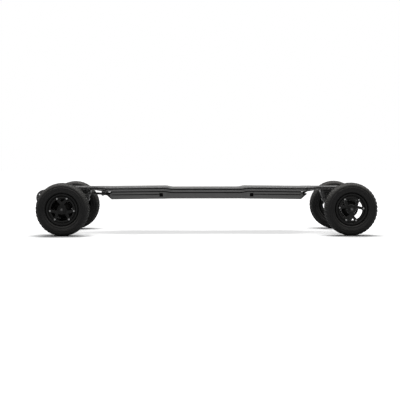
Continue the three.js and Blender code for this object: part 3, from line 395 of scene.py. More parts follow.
# %% [markdown]
# ## A small workshop
# Most of the hardware is turned or cut from plate, so two tools make nearly all of it: a lathe that turns a
# profile about any axis, and a saw that cuts an outline and softens its edges. A Shape gathers such forms,
# in millimetres, and becomes one mesh that rides on its body.

# %% Shape class
smooth_limit = 34


def smooth_edges(mesh_data, degrees=smooth_limit):
    """Faces smooth, with edges kept sharp where the surface turns hard."""
    limit = math.radians(degrees)
    for face in mesh_data.faces:
        face.smooth = True
    for edge in mesh_data.edges:
        edge.smooth = len(edge.link_faces) == 2 and edge.calc_face_angle(0.0) < limit


def to_object(name, mesh_data, material, body, nodes_for=()):
    """Puts a finished mesh in the scene, on its body, for the nodes that it replaces."""
    mesh = bpy.data.meshes.new(name)
    mesh_data.to_mesh(mesh)
    mesh_data.free()
    mesh.materials.append(material)
    piece = new_object(name, mesh)
    if body:
        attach(piece, body)
    if nodes_for:
        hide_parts(*nodes_for)
    return piece


def evaluated(holder):
    """What an object comes to with its modifiers, as a bare mesh. The object is used up."""
    bpy.context.view_layer.update()
    mesh = bpy.data.meshes.new_from_object(holder.evaluated_get(bpy.context.evaluated_depsgraph_get()))
    out = bmesh.new()
    out.from_mesh(mesh)
    bpy.data.objects.remove(holder)
    bpy.data.meshes.remove(mesh)
    return out


class Shape:
    """Gathers turned and cut forms, in millimetres, into one piece."""

    def __init__(self):
        self.mesh = bmesh.new()

    def take(self, other):
        """Takes in another mesh as it is."""
        held = bpy.data.meshes.new("held")
        other.to_mesh(held)
        other.free()
        self.mesh.from_mesh(held)
        bpy.data.meshes.remove(held)
        return self

    def add(self, other):
        """Takes in another mesh, closed and made to face outwards."""
        bmesh.ops.remove_doubles(other, verts=other.verts, dist=0.0005)
        bmesh.ops.recalc_face_normals(other, faces=other.faces)
        return self.take(other)

    def turned(self, profile, centre=(0, 0, 0), axis=(0, 1, 0), sides=48, ring=False):
        """Turns a profile of radius and height pairs about an axis; a ring's profile closes on itself."""
        part = bmesh.new()
        along = Vector(axis).normalized()
        out = along.orthogonal().normalized()
        if abs(along.y) > 0.99:
            out = Vector((1, 0, 0))
        third = along.cross(out)
        rows = []
        for radius, height in profile:
            middle = Vector(centre) + along * height
            if radius < 1e-6:
                rows.append([part.verts.new(middle)])
                continue
            rows.append([part.verts.new(middle + (out * math.cos(t) + third * math.sin(t)) * radius)
                         for t in (2 * math.pi * i / sides for i in range(sides))])
        pairs = list(zip(rows, rows[1:])) + ([(rows[-1], rows[0])] if ring else [])
        for one, two in pairs:
            for i in range(sides):
                k = (i + 1) % sides
                corners = [one[i % len(one)], one[k % len(one)], two[k % len(two)], two[i % len(two)]]
                corners = list(dict.fromkeys(corners))
                if len(corners) > 2:
                    part.faces.new(corners)
        return self.add(part)

    def cut(self, points, low, high, edge=0.0, plane="xz", holes=(), segments=2):
        """Cuts an outline from plate, from low to high across its plane, with softened edges."""
        curve = bpy.data.curves.new("outline", "CURVE")
        curve.dimensions = "2D"
        curve.fill_mode = "BOTH"
        for loop in (points, *holes):
            spline = curve.splines.new("POLY")
            spline.points.add(len(loop) - 1)
            for at, (x, y) in zip(spline.points, loop):
                at.co = (x, y, 0, 1)
            spline.use_cyclic_u = True
        curve.extrude = (high - low) / 2 - edge
        curve.bevel_depth = edge
        curve.bevel_resolution = segments - 1
        curve.offset = -edge
        part = evaluated(new_object("outline", curve))
        bpy.data.curves.remove(curve)
        middle = (low + high) / 2
        for vert in part.verts:
            x, y, z = vert.co
            vert.co = (x, middle + z, y) if plane == "xz" else (x, y, middle + z)
        return self.add(part)

    def bored(self, holes):
        """Cuts the forms of another Shape out of this one, which is a single closed skin."""
        pieces = []
        for name, data in (("body", self.mesh), ("holes", holes.mesh)):
            mesh = bpy.data.meshes.new(name)
            data.to_mesh(mesh)
            data.free()
            pieces.append(new_object(name, mesh))
        cut = pieces[0].modifiers.new("bore", "BOOLEAN")
        cut.operation, cut.solver, cut.object = "DIFFERENCE", "EXACT", pieces[1]
        self.mesh = evaluated(pieces[0])
        bpy.data.objects.remove(pieces[1])
        return self

    def moved(self, matrix):
        """Moves everything gathered so far."""
        bmesh.ops.transform(self.mesh, matrix=matrix, verts=self.mesh.verts)
        if matrix.determinant() < 0:
            bmesh.ops.reverse_faces(self.mesh, faces=self.mesh.faces)
        return self

    def done(self, name, material, body, nodes_for=(), degrees=smooth_limit):
        """Turns millimetres into metres and puts the piece in the scene."""
        bmesh.ops.transform(self.mesh, matrix=Matrix.Scale(mm, 4), verts=self.mesh.verts)
        smooth_edges(self.mesh, degrees)
        return to_object(name, self.mesh, material, body, nodes_for)

    def dress(self, node, material, body, degrees=smooth_limit):
        """Puts the piece in the scene in place of one node."""
        return self.done(f"{node}_dressed", material, body, [node], degrees)


print("shapes ready")

# %% Outlines


def rounded(points, radius, steps=4):
    """An outline with its corners turned into short arcs."""
    out = []
    count = len(points)
    for i in range(count):
        here = Vector(points[i])
        before, after = Vector(points[i - 1]) - here, Vector(points[(i + 1) % count]) - here
        reach = min(radius, before.length * 0.45, after.length * 0.45)
        start, end = here + before.normalized() * reach, here + after.normalized() * reach
        for k in range(steps + 1):
            t = k / steps
            out.append(tuple(start * (1 - t) ** 2 + here * 2 * t * (1 - t) + end * t * t))
    return out


def polar(radius, angle):
    """The point at an angle on a circle."""
    return (radius * math.cos(angle), radius * math.sin(angle))


def arc(radius, start_angle, end_angle, steps):
    """Points along an arc, with both its ends."""
    return [polar(radius, start_angle + (end_angle - start_angle) * i / steps) for i in range(steps + 1)]


def circle(radius, steps=40, x=0.0, z=0.0):
    """Points round a circle."""
    return [(x + u, z + v) for u, v in (polar(radius, 2 * math.pi * i / steps) for i in range(steps))]


def box(x0, x1, z0, z1):
    """The corners of a rectangle."""
    return [(x0, z0), (x1, z0), (x1, z1), (x0, z1)]


def skin(part, rows):
    """Joins equal loops of points with faces, one loop to the next."""
    for one, two in zip(rows, rows[1:]):
        for i in range(len(one)):
            k = (i + 1) % len(one)
            part.faces.new((one[i], one[k], two[k], two[i]))


def on_board(points, sign=1):
    """An outline that is measured from the board's middle, towards one end."""
    return [(sign * x + board_shift, other) for x, other in points]


print("a rectangle", box(0, 1, 0, 1))

# %% [markdown]
# ## Repeats with Geometry Nodes
# Tread lugs, bolts, teeth and fins repeat round a wheel or along a belt. One tree copies a piece round the
# Y axis, one sets it at each point of a guide, and one walks it along a closed path. Each ends in real,
# joined geometry with its finish set, so that nothing is left as an instance.

# %% Geometry Nodes trees


def geometry_tree(name, inputs):
    """A Geometry Nodes tree with its named inputs; returns it, what comes in and what goes out."""
    tree = bpy.data.node_groups.new(name, "GeometryNodeTree")
    for label, kind in [("Geometry", "NodeSocketGeometry")] + inputs:
        tree.interface.new_socket(label, in_out="INPUT", socket_type=kind)
    tree.interface.new_socket("Geometry", in_out="OUTPUT", socket_type="NodeSocketGeometry")
    return tree, add_node(tree, "NodeGroupInput").outputs, add_node(tree, "NodeGroupOutput").inputs


def close_tree(tree, given, result, points, rotation=None):
    """Sets the piece on the points, makes it real and gives it its finish."""
    info = add_node(tree, "GeometryNodeObjectInfo", {"Object": given["Piece"]})
    copies = add_node(tree, "GeometryNodeInstanceOnPoints", {
        "Points": points, "Instance": info.outputs["Geometry"]})
    if rotation is not None:
        feed(tree, rotation, copies.inputs["Rotation"])
    real = add_node(tree, "GeometryNodeRealizeInstances", {0: copies.outputs[0]})
    painted = add_node(tree, "GeometryNodeSetMaterial", {
        "Geometry": real.outputs[0], "Material": given["Finish"]})
    feed(tree, painted.outputs[0], result["Geometry"])


PIECE = [("Piece", "NodeSocketObject"), ("Finish", "NodeSocketMaterial")]
round_tree, given, result = geometry_tree("repeat_round", PIECE + [
    ("Count", "NodeSocketInt"), ("Start", "NodeSocketFloat")])
dots = add_node(round_tree, "GeometryNodePoints", {"Count": given["Count"]})
order = add_node(round_tree, "GeometryNodeInputIndex")
turns = sum_node(round_tree, "DIVIDE", order.outputs[0], given["Count"])
angle = sum_node(round_tree, "MULTIPLY_ADD", turns, -2 * math.pi, given["Start"])
turned_by = add_node(round_tree, "ShaderNodeCombineXYZ", {"Y": angle})
close_tree(round_tree, given, result, dots.outputs[0], turned_by.outputs[0])

point_tree, given, result = geometry_tree("repeat_at_points", PIECE)
close_tree(point_tree, given, result, given["Geometry"])

path_tree, given, result = geometry_tree("repeat_along_path", PIECE + [("Count", "NodeSocketInt")])
line = add_node(path_tree, "GeometryNodeMeshToCurve", {"Mesh": given["Geometry"]})
even = add_node(path_tree, "GeometryNodeResampleCurve", {"Curve": line.outputs[0], "Count": given["Count"]})
ahead = add_node(path_tree, "GeometryNodeInputTangent")
align = add_node(path_tree, "FunctionNodeAlignRotationToVector", {"Vector": ahead.outputs[0]},
                 axis="X", pivot_axis="Y")
close_tree(path_tree, given, result, even.outputs[0], align.outputs[0])


def repeat(tree, piece, material, guide=(), line=False, **values):
    """Runs a tree on guide points and returns the joined result as a bare mesh, in millimetres."""
    mesh = bpy.data.meshes.new("guide")
    edges = [(i, i + 1) for i in range(len(guide) - 1)] if line else []
    mesh.from_pydata([tuple(p) for p in guide], edges, [])
    holder = new_object("guide", mesh)
    modifier = holder.modifiers.new("repeat", "NODES")
    modifier.node_group = tree
    given = {"Piece": piece, "Finish": material, **values}
    for item in tree.interface.items_tree:
        if item.in_out == "INPUT" and item.name in given:
            modifier[item.identifier] = given[item.name]
    out = evaluated(holder)
    bpy.data.meshes.remove(mesh)
    return out


def pattern(shape):
    """A Shape as a hidden object that a tree can copy, in millimetres."""
    mesh = bpy.data.meshes.new("pattern")
    smooth_edges(shape.mesh)
    shape.mesh.to_mesh(mesh)
    shape.mesh.free()
    return bpy.data.objects.new("pattern", mesh)


def drop(*pieces):
    """Removes patterns when their copies are made."""
    for piece in pieces:
        bpy.data.objects.remove(piece)


print("trees", [t.name for t in (round_tree, point_tree, path_tree)])

# %% [markdown]
# ## Tyres
# Each tyre is a 7-inch air-filled one: a hollow carcass turned from its section, with a bead ridge against
# the rim, a raised ring on the sidewall and a groove under the shoulder. The tread is cut into chevron blocks
# in the middle and square lugs at the shoulders. Forty pitches repeat round it, so one pitch is drawn on the
# crown's curve, and the tree copies it.

# %% Tyre section and tread pitch
tyre_half_section = [
    (45.6, 11.0), (45.6, 16.4), (46.6, 16.9), (51.6, 16.9), (54.2, 17.1), (54.9, 17.9), (55.2, 20.6),
    (55.5, 22.4), (56.1, 23.4), (57.0, 24.3), (58.2, 25.0), (59.6, 25.3), (60.8, 25.2), (61.4, 24.7),
    (62.2, 24.7), (63.0, 25.3), (65.6, 26.2), (66.0, 25.8), (66.4, 26.3), (69.0, 26.8), (69.4, 26.4),
    (69.8, 26.9), (71.9, 26.8), (72.5, 26.1), (73.3, 25.5), (74.6, 25.4), (75.2, 25.9), (76.4, 25.8),
    (77.2, 25.6), (79.5, 24.6), (81.4, 22.8), (83.0, 20.4), (84.4, 16.8), (85.2, 12.0), (85.6, 6.0),
    (85.7, 0.0)]
tread_top = [(0, 87.5), (8, 87.45), (12.4, 87.3), (16, 86.7), (19, 85.5), (21.5, 83.9), (23.4, 81.9),
             (24.9, 79.4)]
tread_floor = [(0, 85.2), (8, 85.0), (12.4, 84.5), (16, 83.9), (19, 82.4), (21.5, 80.6), (23.4, 78.6),
               (24.9, 76.5)]
tread_pitches, tyre_radius = 40, axle_z


def at_station(table, across):
    """Reads a table of places and values between its rows."""
    across = abs(across)
    for (y0, v0), (y1, v1) in zip(table, table[1:]):
        if across <= y1:
            return v0 + (v1 - v0) * (across - y0) / (y1 - y0)
    return table[-1][1]


def tread_block(part, corners):
    """One lug: its foot is sunk in the carcass and its top is drawn in a little."""
    middle = sum((Vector(c) for c in corners), Vector((0, 0))) / len(corners)
    rows = []
    for table, lift, inset in ((tread_floor, -0.8, 0), (tread_top, -0.7, 0), (tread_top, 0.0, 0.45)):
        row = []
        for corner in corners:
            away = Vector(corner) - middle
            spot = middle + away * (1 - inset / max(away.length, 1))
            along, over = polar(at_station(table, spot.y) + lift, spot.x / tyre_radius)
            row.append(part.verts.new((along, spot.y, over)))
        rows.append(row)
    skin(part, rows)
    part.faces.new(rows[-1])
    part.faces.new(rows[0][::-1])


def tread_pitch():
    """The lugs of one pitch, on both sides of the crown."""
    shape = Shape()
    pitch = 2 * math.pi * tyre_radius / tread_pitches
    chevron = [(1.0, 0.9), (6.0, 0.9), (10.2, 7.6), (5.2, 7.6)]
    flank = [(6.4, 9.0), (11.4, 9.0), (13.0, 15.2), (7.6, 15.2)]
    shoulder = [(6.6, 16.8), (16.6, 16.8), (16.6, 20.4), (16.0, 24.6), (7.4, 24.6), (6.6, 20.4)]
    for hand, shift in ((1, 0), (-1, pitch / 2)):
        for lug in (chevron, flank, shoulder):
            tread_block(shape.mesh, [(s + shift, hand * y) for s, y in lug])
    bmesh.ops.recalc_face_normals(shape.mesh, faces=shape.mesh.faces)
    return shape


print("tread pitches", tread_pitches)

# %% Tyres
tread_piece = pattern(tread_pitch())
outside = tyre_half_section + [(r, -y) for r, y in tyre_half_section[-2::-1]]
inside = [(48.0, -10.0), (60.5, -18.9), (72.0, -21.5), (77.5, -17.3), (80.5, -8.0),
          (80.5, 8.0), (77.5, 17.3), (72.0, 21.5), (60.5, 18.9), (48.0, 10.0)]
bead_shade_section = [(51.6, 17.1), (54.3, 17.3), (55.1, 18.3), (54.9, 19.3), (53.6, 18.6), (51.6, 18.3)]
wheels = {}
for end_name, end_sign in end_signs.items():
    for side_name, side_sign in (("left", 1), ("right", -1)):
        centre = (end_sign * axle_x + board_shift, side_sign * wheel_y, axle_z)
        outwards = Matrix.Translation(centre) @ Matrix.Scale(side_sign, 4, (0, 1, 0))
        wheels[f"{end_name}_{side_name}"] = (centre, outwards)

for wheel_name, (centre, outwards) in wheels.items():
    tyre = Shape().turned(outside + inside, sides=128, ring=True)
    start_angle = 0.31 * len(wheel_name)  # so that the lugs of neighbours don't line up
    tyre.take(repeat(round_tree, tread_piece, tyre_rubber, Count=tread_pitches, Start=start_angle))
    tyre.moved(Matrix.Translation(centre))
    tyre.dress(f"{wheel_name}_tyre", tyre_rubber, f"{wheel_name}_wheel", degrees=28)
    # A black ring in the gap between rim and tyre: painted shade for that gap.
    bead = Shape()
    for out_side in (1, -1):
        bead.turned([(r, out_side * h) for r, h in bead_shade_section], centre, sides=128, ring=True)
    bead.done(f"{wheel_name}_bead_seal", black_foam, f"{wheel_name}_wheel")
drop(tread_piece)
print("tyres", len(wheels))

# %% [markdown]
# ## Rims
# The rims are moulded in black reinforced plastic, in two halves that bolts hold together. Three forked
# spokes leave three wide windows and three small ones, and a steel bolt sits at the foot of each fork arm.
# The barrel is turned, the spoke disc is an outline with six holes cut from plate, and the bolts repeat.

# %% Rim window outlines
window_radius, arm_width = 36.5, 10.0
spread, fork_turn, inner_half = math.radians(24), 2 * math.pi / 3, math.radians(40)


def rim_windows(turn_angle):
    """The three small and three wide windows of one rim."""
    slip = math.asin(arm_width / window_radius) / 2
    holes = []
    for i in range(3):
        middle = turn_angle + i * fork_turn
        wide_middle = middle + fork_turn / 2
        small_half, wide_half = spread - slip, fork_turn / 2 - spread - slip
        small = [polar(24.5, middle)] + arc(window_radius, middle + small_half, middle - small_half, 3)
        wide = [polar(radius, wide_middle + inner_half * share)
                for radius, share in ((18.0, -1), (16.7, -0.5), (16.4, 0), (16.7, 0.5), (18.0, 1))]
        wide += arc(window_radius, wide_middle + wide_half, wide_middle - wide_half, 6)
        holes += [rounded(small, 2.2), rounded(wide, 2.6)]
    return holes


rim_turns = {"front_left": math.radians(25), "front_right": math.radians(28),
             "rear_left": math.radians(90), "rear_right": math.radians(90)}
print("windows", len(rim_windows(0)))

# %% Rims
barrel = [(47.6, 20), (50.9, 20), (51.4, 19.5), (51.4, 17.8), (51.0, 17.5), (45.5, 17.5), (45.0, 17.0),
          (45.0, -17.0), (45.5, -17.5), (51.0, -17.5), (51.4, -17.8), (51.4, -19.5), (50.9, -20),
          (47.6, -20), (46.8, -19.4), (41.2, -10.4), (41.0, -9.8), (41.0, 9.8), (41.2, 10.4), (46.8, 19.4)]
hub = [(11.25, -19), (27.4, -19), (28.0, -18.4), (28.0, -15.6), (27.4, -15.0), (17.0, -11.4),
       (15.0, -10.4), (15.0, 17.6), (14.4, 19.0), (12.0, 19.0), (11.25, 18.4)]
bolt_circle, boss_face = 39.4, 16.8
boss = [(0, boss_face), (3.9, boss_face), (4.5, 16.2), (4.7, 9.4), (0, 9.4)]
bolt = Shape().turned([(0, 2.2), (1.4, 2.2), (1.6, 3.2), (2.5, 3.2), (3.0, 2.7), (3.1, -0.5), (0, -0.5)],
                      sides=20)
bolt_piece = pattern(bolt.moved(Matrix.Translation((bolt_circle, 0, 0))))
for wheel_name, (centre, outwards) in wheels.items():
    spoke_turn = rim_turns[wheel_name]
    rim = Shape().turned(barrel, sides=112, ring=True).turned(hub, sides=64, ring=True)
    rim.cut(circle(43.2, 112), 9.2, 16.0, 2.6, holes=rim_windows(spoke_turn))
    for i in range(3):
        for fork in (spread, -spread):
            bx, bz = polar(bolt_circle, spoke_turn + i * fork_turn + fork)
            rim.turned(boss, (bx, 0, bz), sides=24)
    rim.moved(outwards).dress(f"{wheel_name}_rim", rim_plastic, f"{wheel_name}_wheel")
    bolts = Shape()
    for fork in (spread, -spread):
        bolts.take(repeat(round_tree, bolt_piece, dull_steel, Count=3, Start=-(spoke_turn + fork)))
    bolts.moved(outwards @ Matrix.Translation((0, boss_face, 0)))
    bolts.done(f"{wheel_name}_rim_bolts", dull_steel, f"{wheel_name}_wheel")
drop(bolt_piece)
print("rims", len(wheels))

# %% Bearings, axle nuts and axles
race = [(4.3, 12.2), (4.3, 18.8), (4.6, 19.0), (5.9, 19.0), (6.2, 18.5), (8.8, 18.3), (9.1, 18.9),
        (10.7, 18.9), (11.0, 18.6), (11.0, 12.2)]
shield = [(6.0, 18.0), (6.0, 18.75), (9.3, 18.75), (9.3, 18.0)]
nut_flats = [polar(7.3, math.radians(60 * i + 12)) for i in range(6)]
for wheel_name, (centre, outwards) in wheels.items():
    pair, shields = Shape(), Shape()
    for end_of in (1, -1):
        pair.turned([(r, end_of * h) for r, h in race], sides=48, ring=True)
        shields.turned([(r, end_of * h) for r, h in shield], sides=48, ring=True)
    pair.turned([(4.3, -12.0), (6.5, -12.0), (6.5, 12.0), (4.3, 12.0)], sides=32, ring=True)
    pair.moved(outwards).dress(f"{wheel_name}_bearings", black_steel, f"{wheel_name}_wheel")
    shields.moved(outwards).done(f"{wheel_name}_bearing_shields", soft_rubber, f"{wheel_name}_wheel")
    nut = Shape().cut(rounded(nut_flats, 0.6, 2), 20.0, 25.3, 0.5, holes=[circle(4.25, 24)])
    nut.turned([(4.25, 19.3), (7.4, 19.3), (7.4, 20.2), (4.25, 20.2)], sides=32, ring=True)
    nut.moved(outwards).dress(f"{wheel_name}_axle_nut", black_steel, f"{wheel_name}_wheel")

bar = [(0, 209.3), (3.2, 209.3), (4.0, 208.5), (4.0, 163.7), (6.5, 163.7), (7.0, 163.2)]
bar += [(r, -h) for r, h in reversed(bar)]
for end_name, end_sign in end_signs.items():
    axle = Shape().turned(bar, (end_sign * axle_x + board_shift, 0, axle_z), sides=48)
    axle.dress(f"{end_name}_axle", dark_steel, f"{end_name}_truck")
print("axles, nuts and bearings done")

# %% [markdown]
# ## The deck
# The deck is a carbon laminate with a foam core. It has a waist, two wider platforms that step up a little,
# and a tongue over each truck. It follows a rule: at each station along its length it has one half width,
# one underside and one top, so it is lofted from stations, with a rounded edge as its cross section.

# %% Deck stations
# Half width, top and underside by the distance from the middle.
half_table = [(0, 106), (112, 106), (118, 106.4), (128, 113.6), (139, 120.4), (146, 121), (326, 121),
              (336, 120.6), (350.5, 112.7), (365, 86.5), (379.5, 60.3), (390, 53.2), (400, 50.9), (440, 45.5),
              (460, 42.4), (468, 40.4), (474, 37.0), (478.5, 32.6), (481.4, 27.0), (482.9, 20.0)]
top_table = [(0, 155.5), (114, 155.5), (122, 156.1), (135, 158.7), (143, 159.3), (330, 157.3), (342, 157.5),
             (372, 158.8), (384, 159), (483, 159)]
bottom_table = [(0, 141.5), (114, 141.5), (122, 142.1), (135, 145.2), (143, 146.0), (330, 143.8),
                (345, 144.6), (378, 147.5), (483, 147.5)]
deck_end = 482.9
groove_depth, lip_height, groove_height, slack = 3.0, 2.8, 3.4, 0.05


def stations(step):
    """Places along the half length, closer where the outline turns."""
    xs = sorted({round(step * i, 2) for i in range(int(deck_end / step) + 1)}
                | {x for x, _ in half_table} | {x for x, _ in top_table} - {483} | {480.2, 482.2})
    return [-x for x in reversed(xs) if x > 0] + xs


def loft(xs, section):
    """Joins equal rows of points along x into one closed skin."""
    part = bmesh.new()
    rows = [[part.verts.new((x + board_shift, y, z)) for y, z in section(x)] for x in xs]
    skin(part, rows)
    part.faces.new(rows[0])
    part.faces.new(rows[-1][::-1])
    return part


def mirrored_section(side, across_steps=10):
    """Closes a section from its right side alone: a floor, the side, a top and the side's mirror."""
    (inner, low), (top, high) = side[0], side[-1]
    floor_row = [(-inner + 2 * inner * i / across_steps, low) for i in range(across_steps)]
    top_row = [(top - 2 * top * i / across_steps, high) for i in range(1, across_steps)]
    return floor_row + side + top_row + [(-y, z) for y, z in reversed(side)][:-1]


def deck_section(x):
    """The laminate's section: a rolled upper lip, a recess under it and a plain side below."""
    half, low, high = (at_station(table, x) for table in (half_table, bottom_table, top_table))
    lip, foot = high - lip_height, high - lip_height - groove_height
    side = [(-2.0, low), (-0.6, low + 0.6), (0, low + 2.0), (0, foot - 0.5), (-0.5, foot),
            (-groove_depth, foot), (-groove_depth, lip), (-0.4, lip), (0, lip + 0.4),
            (0, high - 1.8), (-0.6, high - 0.8), (-1.5, high - 0.2), (-2.6, high)]
    return mirrored_section([(half + out, z) for out, z in side])


def groove_shade_section(x):
    """A black strip that paints the recess's shade, a hair smaller than it, with a low ridge along its
    middle.
    """
    half, high = at_station(half_table, x), at_station(top_table, x)
    lip, foot = high - lip_height - slack, high - lip_height - groove_height + slack
    inner = half - groove_depth + 0.1
    return mirrored_section([(inner, foot), (half - 1.0, foot), (half - 0.7, (lip + foot) / 2),
                             (half - 1.0, lip), (inner, lip)])


def grip_section(x):
    """The grit sheet's section: 1.2 mm thick with soft edges, and 3 mm inside the deck's edge."""
    top, radius = at_station(top_table, x), 0.5
    low, high, inner = top + slack, top + 1.25, at_station(half_table, x) - 3.0 - radius
    points = [(-inner + 2 * inner * i / 10, low) for i in range(11)]
    points += [(inner + u, low + radius + v) for u, v in arc(radius, -math.pi / 2, 0, 2)[1:]]
    return points + [(-y, low + high - z) for y, z in points]


deck_xs = stations(12)
Shape().add(loft(deck_xs, deck_section)).dress("deck_board", carbon, "deck", 40)
short_xs = [x for x in deck_xs if abs(x) < 479.9]
# A black strip in the recess under the lip: painted shade for the recess.
Shape().add(loft(short_xs, groove_shade_section)).done("deck_edge_seal", black_foam, "deck")
Shape().add(loft(short_xs, grip_section)).dress("grip_sheet", grip, "deck")
print("deck is", round(2 * deck_end), "mm long")

# %% [markdown]
# ## The battery enclosure
# Under the deck hangs a moulded tray that follows the deck's outline, with soft lower edges and sloped ends.
# Its wall is bored for the button and the socket on the left, and at both ends of each platform it has a
# pocket with a black pad, which paints the pocket's shade. Along each platform a rail with round ends stands
# out from the wall, under the deck's edge. Black strips in the slot under the rail and in the gap between
# tray and deck paint the shade there.

# %% Tray section
# Half width and floor height by the distance from the middle, and the wall's own heights and pockets.
tray_half_table = [(0, 102), (114, 102), (120, 102.6), (130, 107.6), (139, 112.4), (146, 113), (330, 113)]
tray_floor_table = [(0, 119.9), (120, 119.8), (200, 119.0), (317, 117.6)]
shade_gap_height, slot_drop, slot_height = 3.0, 8.9, 2.0
pocket_start, pocket_end, pocket_floor = 146.5, 158.5, 109.8


def tray_recess(x):
    """How deep the wall steps back under the rail: none at the waist."""
    return 3.2 * min(1.0, max(0.0, (abs(x) - pocket_start) / 3.0))


def tray_section(x):
    """The tray's section: flat floor, round lower edges, upright walls and the recess under the rail."""
    half, top = at_station(tray_half_table, x), at_station(bottom_table, x) - shade_gap_height
    rise = at_station(tray_floor_table, x) + max(0.0, abs(x) - 317.0)
    radius, back, low = 4.5, tray_recess(x), top - slot_drop
    points = [(half - radius, rise)]
    points += [(half - radius + u, rise + radius + v)
               for u, v in arc(radius, 1.5 * math.pi, 2 * math.pi, 5)[1:5]]
    points += [(half, rise + radius), (half, low - 0.6), (half - min(back, 0.6), low), (half - back, low),
               (half - back, low + slot_height), (half, low + slot_height), (half, top)]
    return mirrored_section(points, 8)


tray_xs = sorted({s * x for s in (1, -1) for x in (
    0, 40, 80, 114, 117, 120, 125, 130, 135, 139, 143, 146, 148, 149.5, 190, 240, 290, 314, 317, 319, 321)})
print("tray stations", len(tray_xs))

# %% Tray, bores and pockets
button_at, socket_at = (-96 + board_shift, 0, 132.0), (-62 + board_shift, 0, 130.3)
bore_end, pocket_open = 103.0, 116.0
holes = Shape().turned([(0, 94.8), (7.3, 94.8), (7.3, bore_end), (0, bore_end)], button_at)
holes.turned([(0, 89.2), (7.6, 89.2), (7.6, bore_end), (0, bore_end)], socket_at)
# Black pads at the bottom of the pockets: painted shade for the pockets.
pocket_shades = Shape()
for end_sign in end_signs.values():
    low, high = sorted((end_sign * pocket_start + board_shift, end_sign * pocket_end + board_shift))
    pocket = box(low, high, 127.0, 139.0)
    for side_sign in (1, -1):
        holes.cut(pocket, *sorted((side_sign * pocket_floor, side_sign * pocket_open)))
        pocket_shades.cut(pocket, *sorted((side_sign * (pocket_floor - 1), side_sign * (pocket_floor + 0.3))))
pocket_shades.done("wall_pocket_pads", black_foam, "deck")
tray = Shape().add(loft(tray_xs, tray_section)).bored(holes)
print("tray bored, faces", len(tray.mesh.faces))

# %% Painted shade strips


def gap_shade_section(x):
    """A black strip between the tray's rim and the deck that paints the shade of the gap."""
    half, top = at_station(tray_half_table, x) - 1.4, at_station(bottom_table, x)
    return mirrored_section(box(half - 4, half, top - shade_gap_height + slack, top - slack), 4)


def slot_shade_section(x):
    """The same black strip behind the slot under the rail, which paints the slot's shade."""
    half, low = at_station(tray_half_table, x), at_station(bottom_table, x) - shade_gap_height - slot_drop
    return mirrored_section(box(half - 5, half - 0.9, low + slack, low + slot_height - slack), 4)


Shape().add(loft(tray_xs, gap_shade_section)).done("tray_seal", black_foam, "deck")
slot_shades = Shape()
for end_sign in end_signs.values():
    slot_shades.add(loft(sorted(end_sign * x for x in (150, 190, 240, 290, 314, 318)), slot_shade_section))
slot_shades.done("rail_slot_seals", black_foam, "deck")
print("seals done")

# %% [markdown]
# ### The tray's ends
# A prow sweeps up at each end, open above for the leads, under a near-black skin that paints the shade of the
# sloped end. A tab carries each end up to the deck, and a strap, also painted shade, closes the gap between
# them at its tip.

# %% Rails, prows and end panels
rail_start, rail_end, rail_low, rail_high = 158.9, 319.8, 135.9, 142.6
rail_inside, rail_outside = 111.0, 117.5
prow = [(317.2, 119.0), (326.0, 127.4), (326.0, 136.8), (319.6, 136.8)]
panel = [(316.6, 117.7), (319.6, 117.7), (339.0, 134.9), (339.4, 137.2), (325.6, 137.2), (325.6, 128.6)]
strap = [(334.0, 136.0), (341.0, 135.6), (347.0, 138.4), (352.5, 141.6), (359.0, 144.2), (372.0, 146.4),
         (372.0, 146.9), (345.0, 144.5), (336.0, 144.0), (321.6, 143.8), (321.6, 141.6), (343.6, 141.8),
         (345.4, 141.2), (343.4, 139.6), (339.0, 138.0), (334.0, 137.6)]


def pill(x0, x1, low, high, steps=8):
    """A bar's side outline with round ends."""
    radius, middle = (high - low) / 2, (low + high) / 2
    spans = [x0 + radius + (x1 - x0 - 2 * radius) * i / 6 for i in range(1, 6)]
    right = [(x1 - radius + u, middle + v) for u, v in arc(radius, -math.pi / 2, math.pi / 2, steps)]
    left = [(x0 + radius + u, middle + v) for u, v in arc(radius, math.pi / 2, 1.5 * math.pi, steps)]
    return right + [(x, high) for x in reversed(spans)] + left + [(x, low) for x in spans]


def rail_camber(x):
    """The rails fall towards the trucks with the deck's underside: 2.2 mm in 187."""
    return (235 - abs(x - board_shift)) * 2.2 / 187


end_shade_panels = Shape()
for end_sign in end_signs.values():
    low, high = sorted((end_sign * rail_start + board_shift, end_sign * rail_end + board_shift))
    rail = [(x, z + rail_camber(x)) for x, z in pill(low, high, rail_low, rail_high)]
    for side_sign in (1, -1):
        tray.cut(rail, *sorted((side_sign * rail_inside, side_sign * rail_outside)), 1.2)
    tray.cut(on_board(prow, end_sign), -111.0, 111.0, 0.4)
    # The end panels and straps are near-black: painted shade on the sloped ends and under the tongue.
    end_shade_panels.cut(on_board(panel, end_sign), -111.4, 111.4, 0.4)
    end_shade_panels.cut(on_board(strap, end_sign), -26.0, 26.0, 0.3)
end_shade_panels.done("tray_end_panels", end_plastic, "deck")
tray.dress("battery_enclosure", tray_plastic, "deck", 38)
print("rails from", rail_start, "to", rail_end, "mm")

# %% [markdown]
# ## The trucks
# A double-kingpin truck turns on two bolts, each between two urethane bushings. The baseplate under the
# tongue holds the inner kingpin and the cup of the inner pivot. The carrier swings on them and holds the
# outer pair, and the hanger swings on those and carries the axle. Everything is placed along two directions:
# the arm line, which rises outwards by 18 degrees, and the pin line square to it.

# %% Truck lines
rake = math.radians(18)
arm_line = Vector((math.cos(rake), 0, math.sin(rake)))
pin_line = Vector((-math.sin(rake), 0, math.cos(rake)))
inner_seat, inner_arm = Vector((-57.933, 0, 116.939)), 42
outer_seat, outer_arm = Vector((-27.030, 0, 101.114)), 36
bolt_us, bolt_ys = (-66, -8), (-20.5, 20.5)
end_place = {"front": Matrix.Translation((axle_x + board_shift, 0, 0)),
             "rear": Matrix.Translation((-axle_x + board_shift, 0, 0)) @ Matrix.Rotation(math.pi, 4, "Z")}


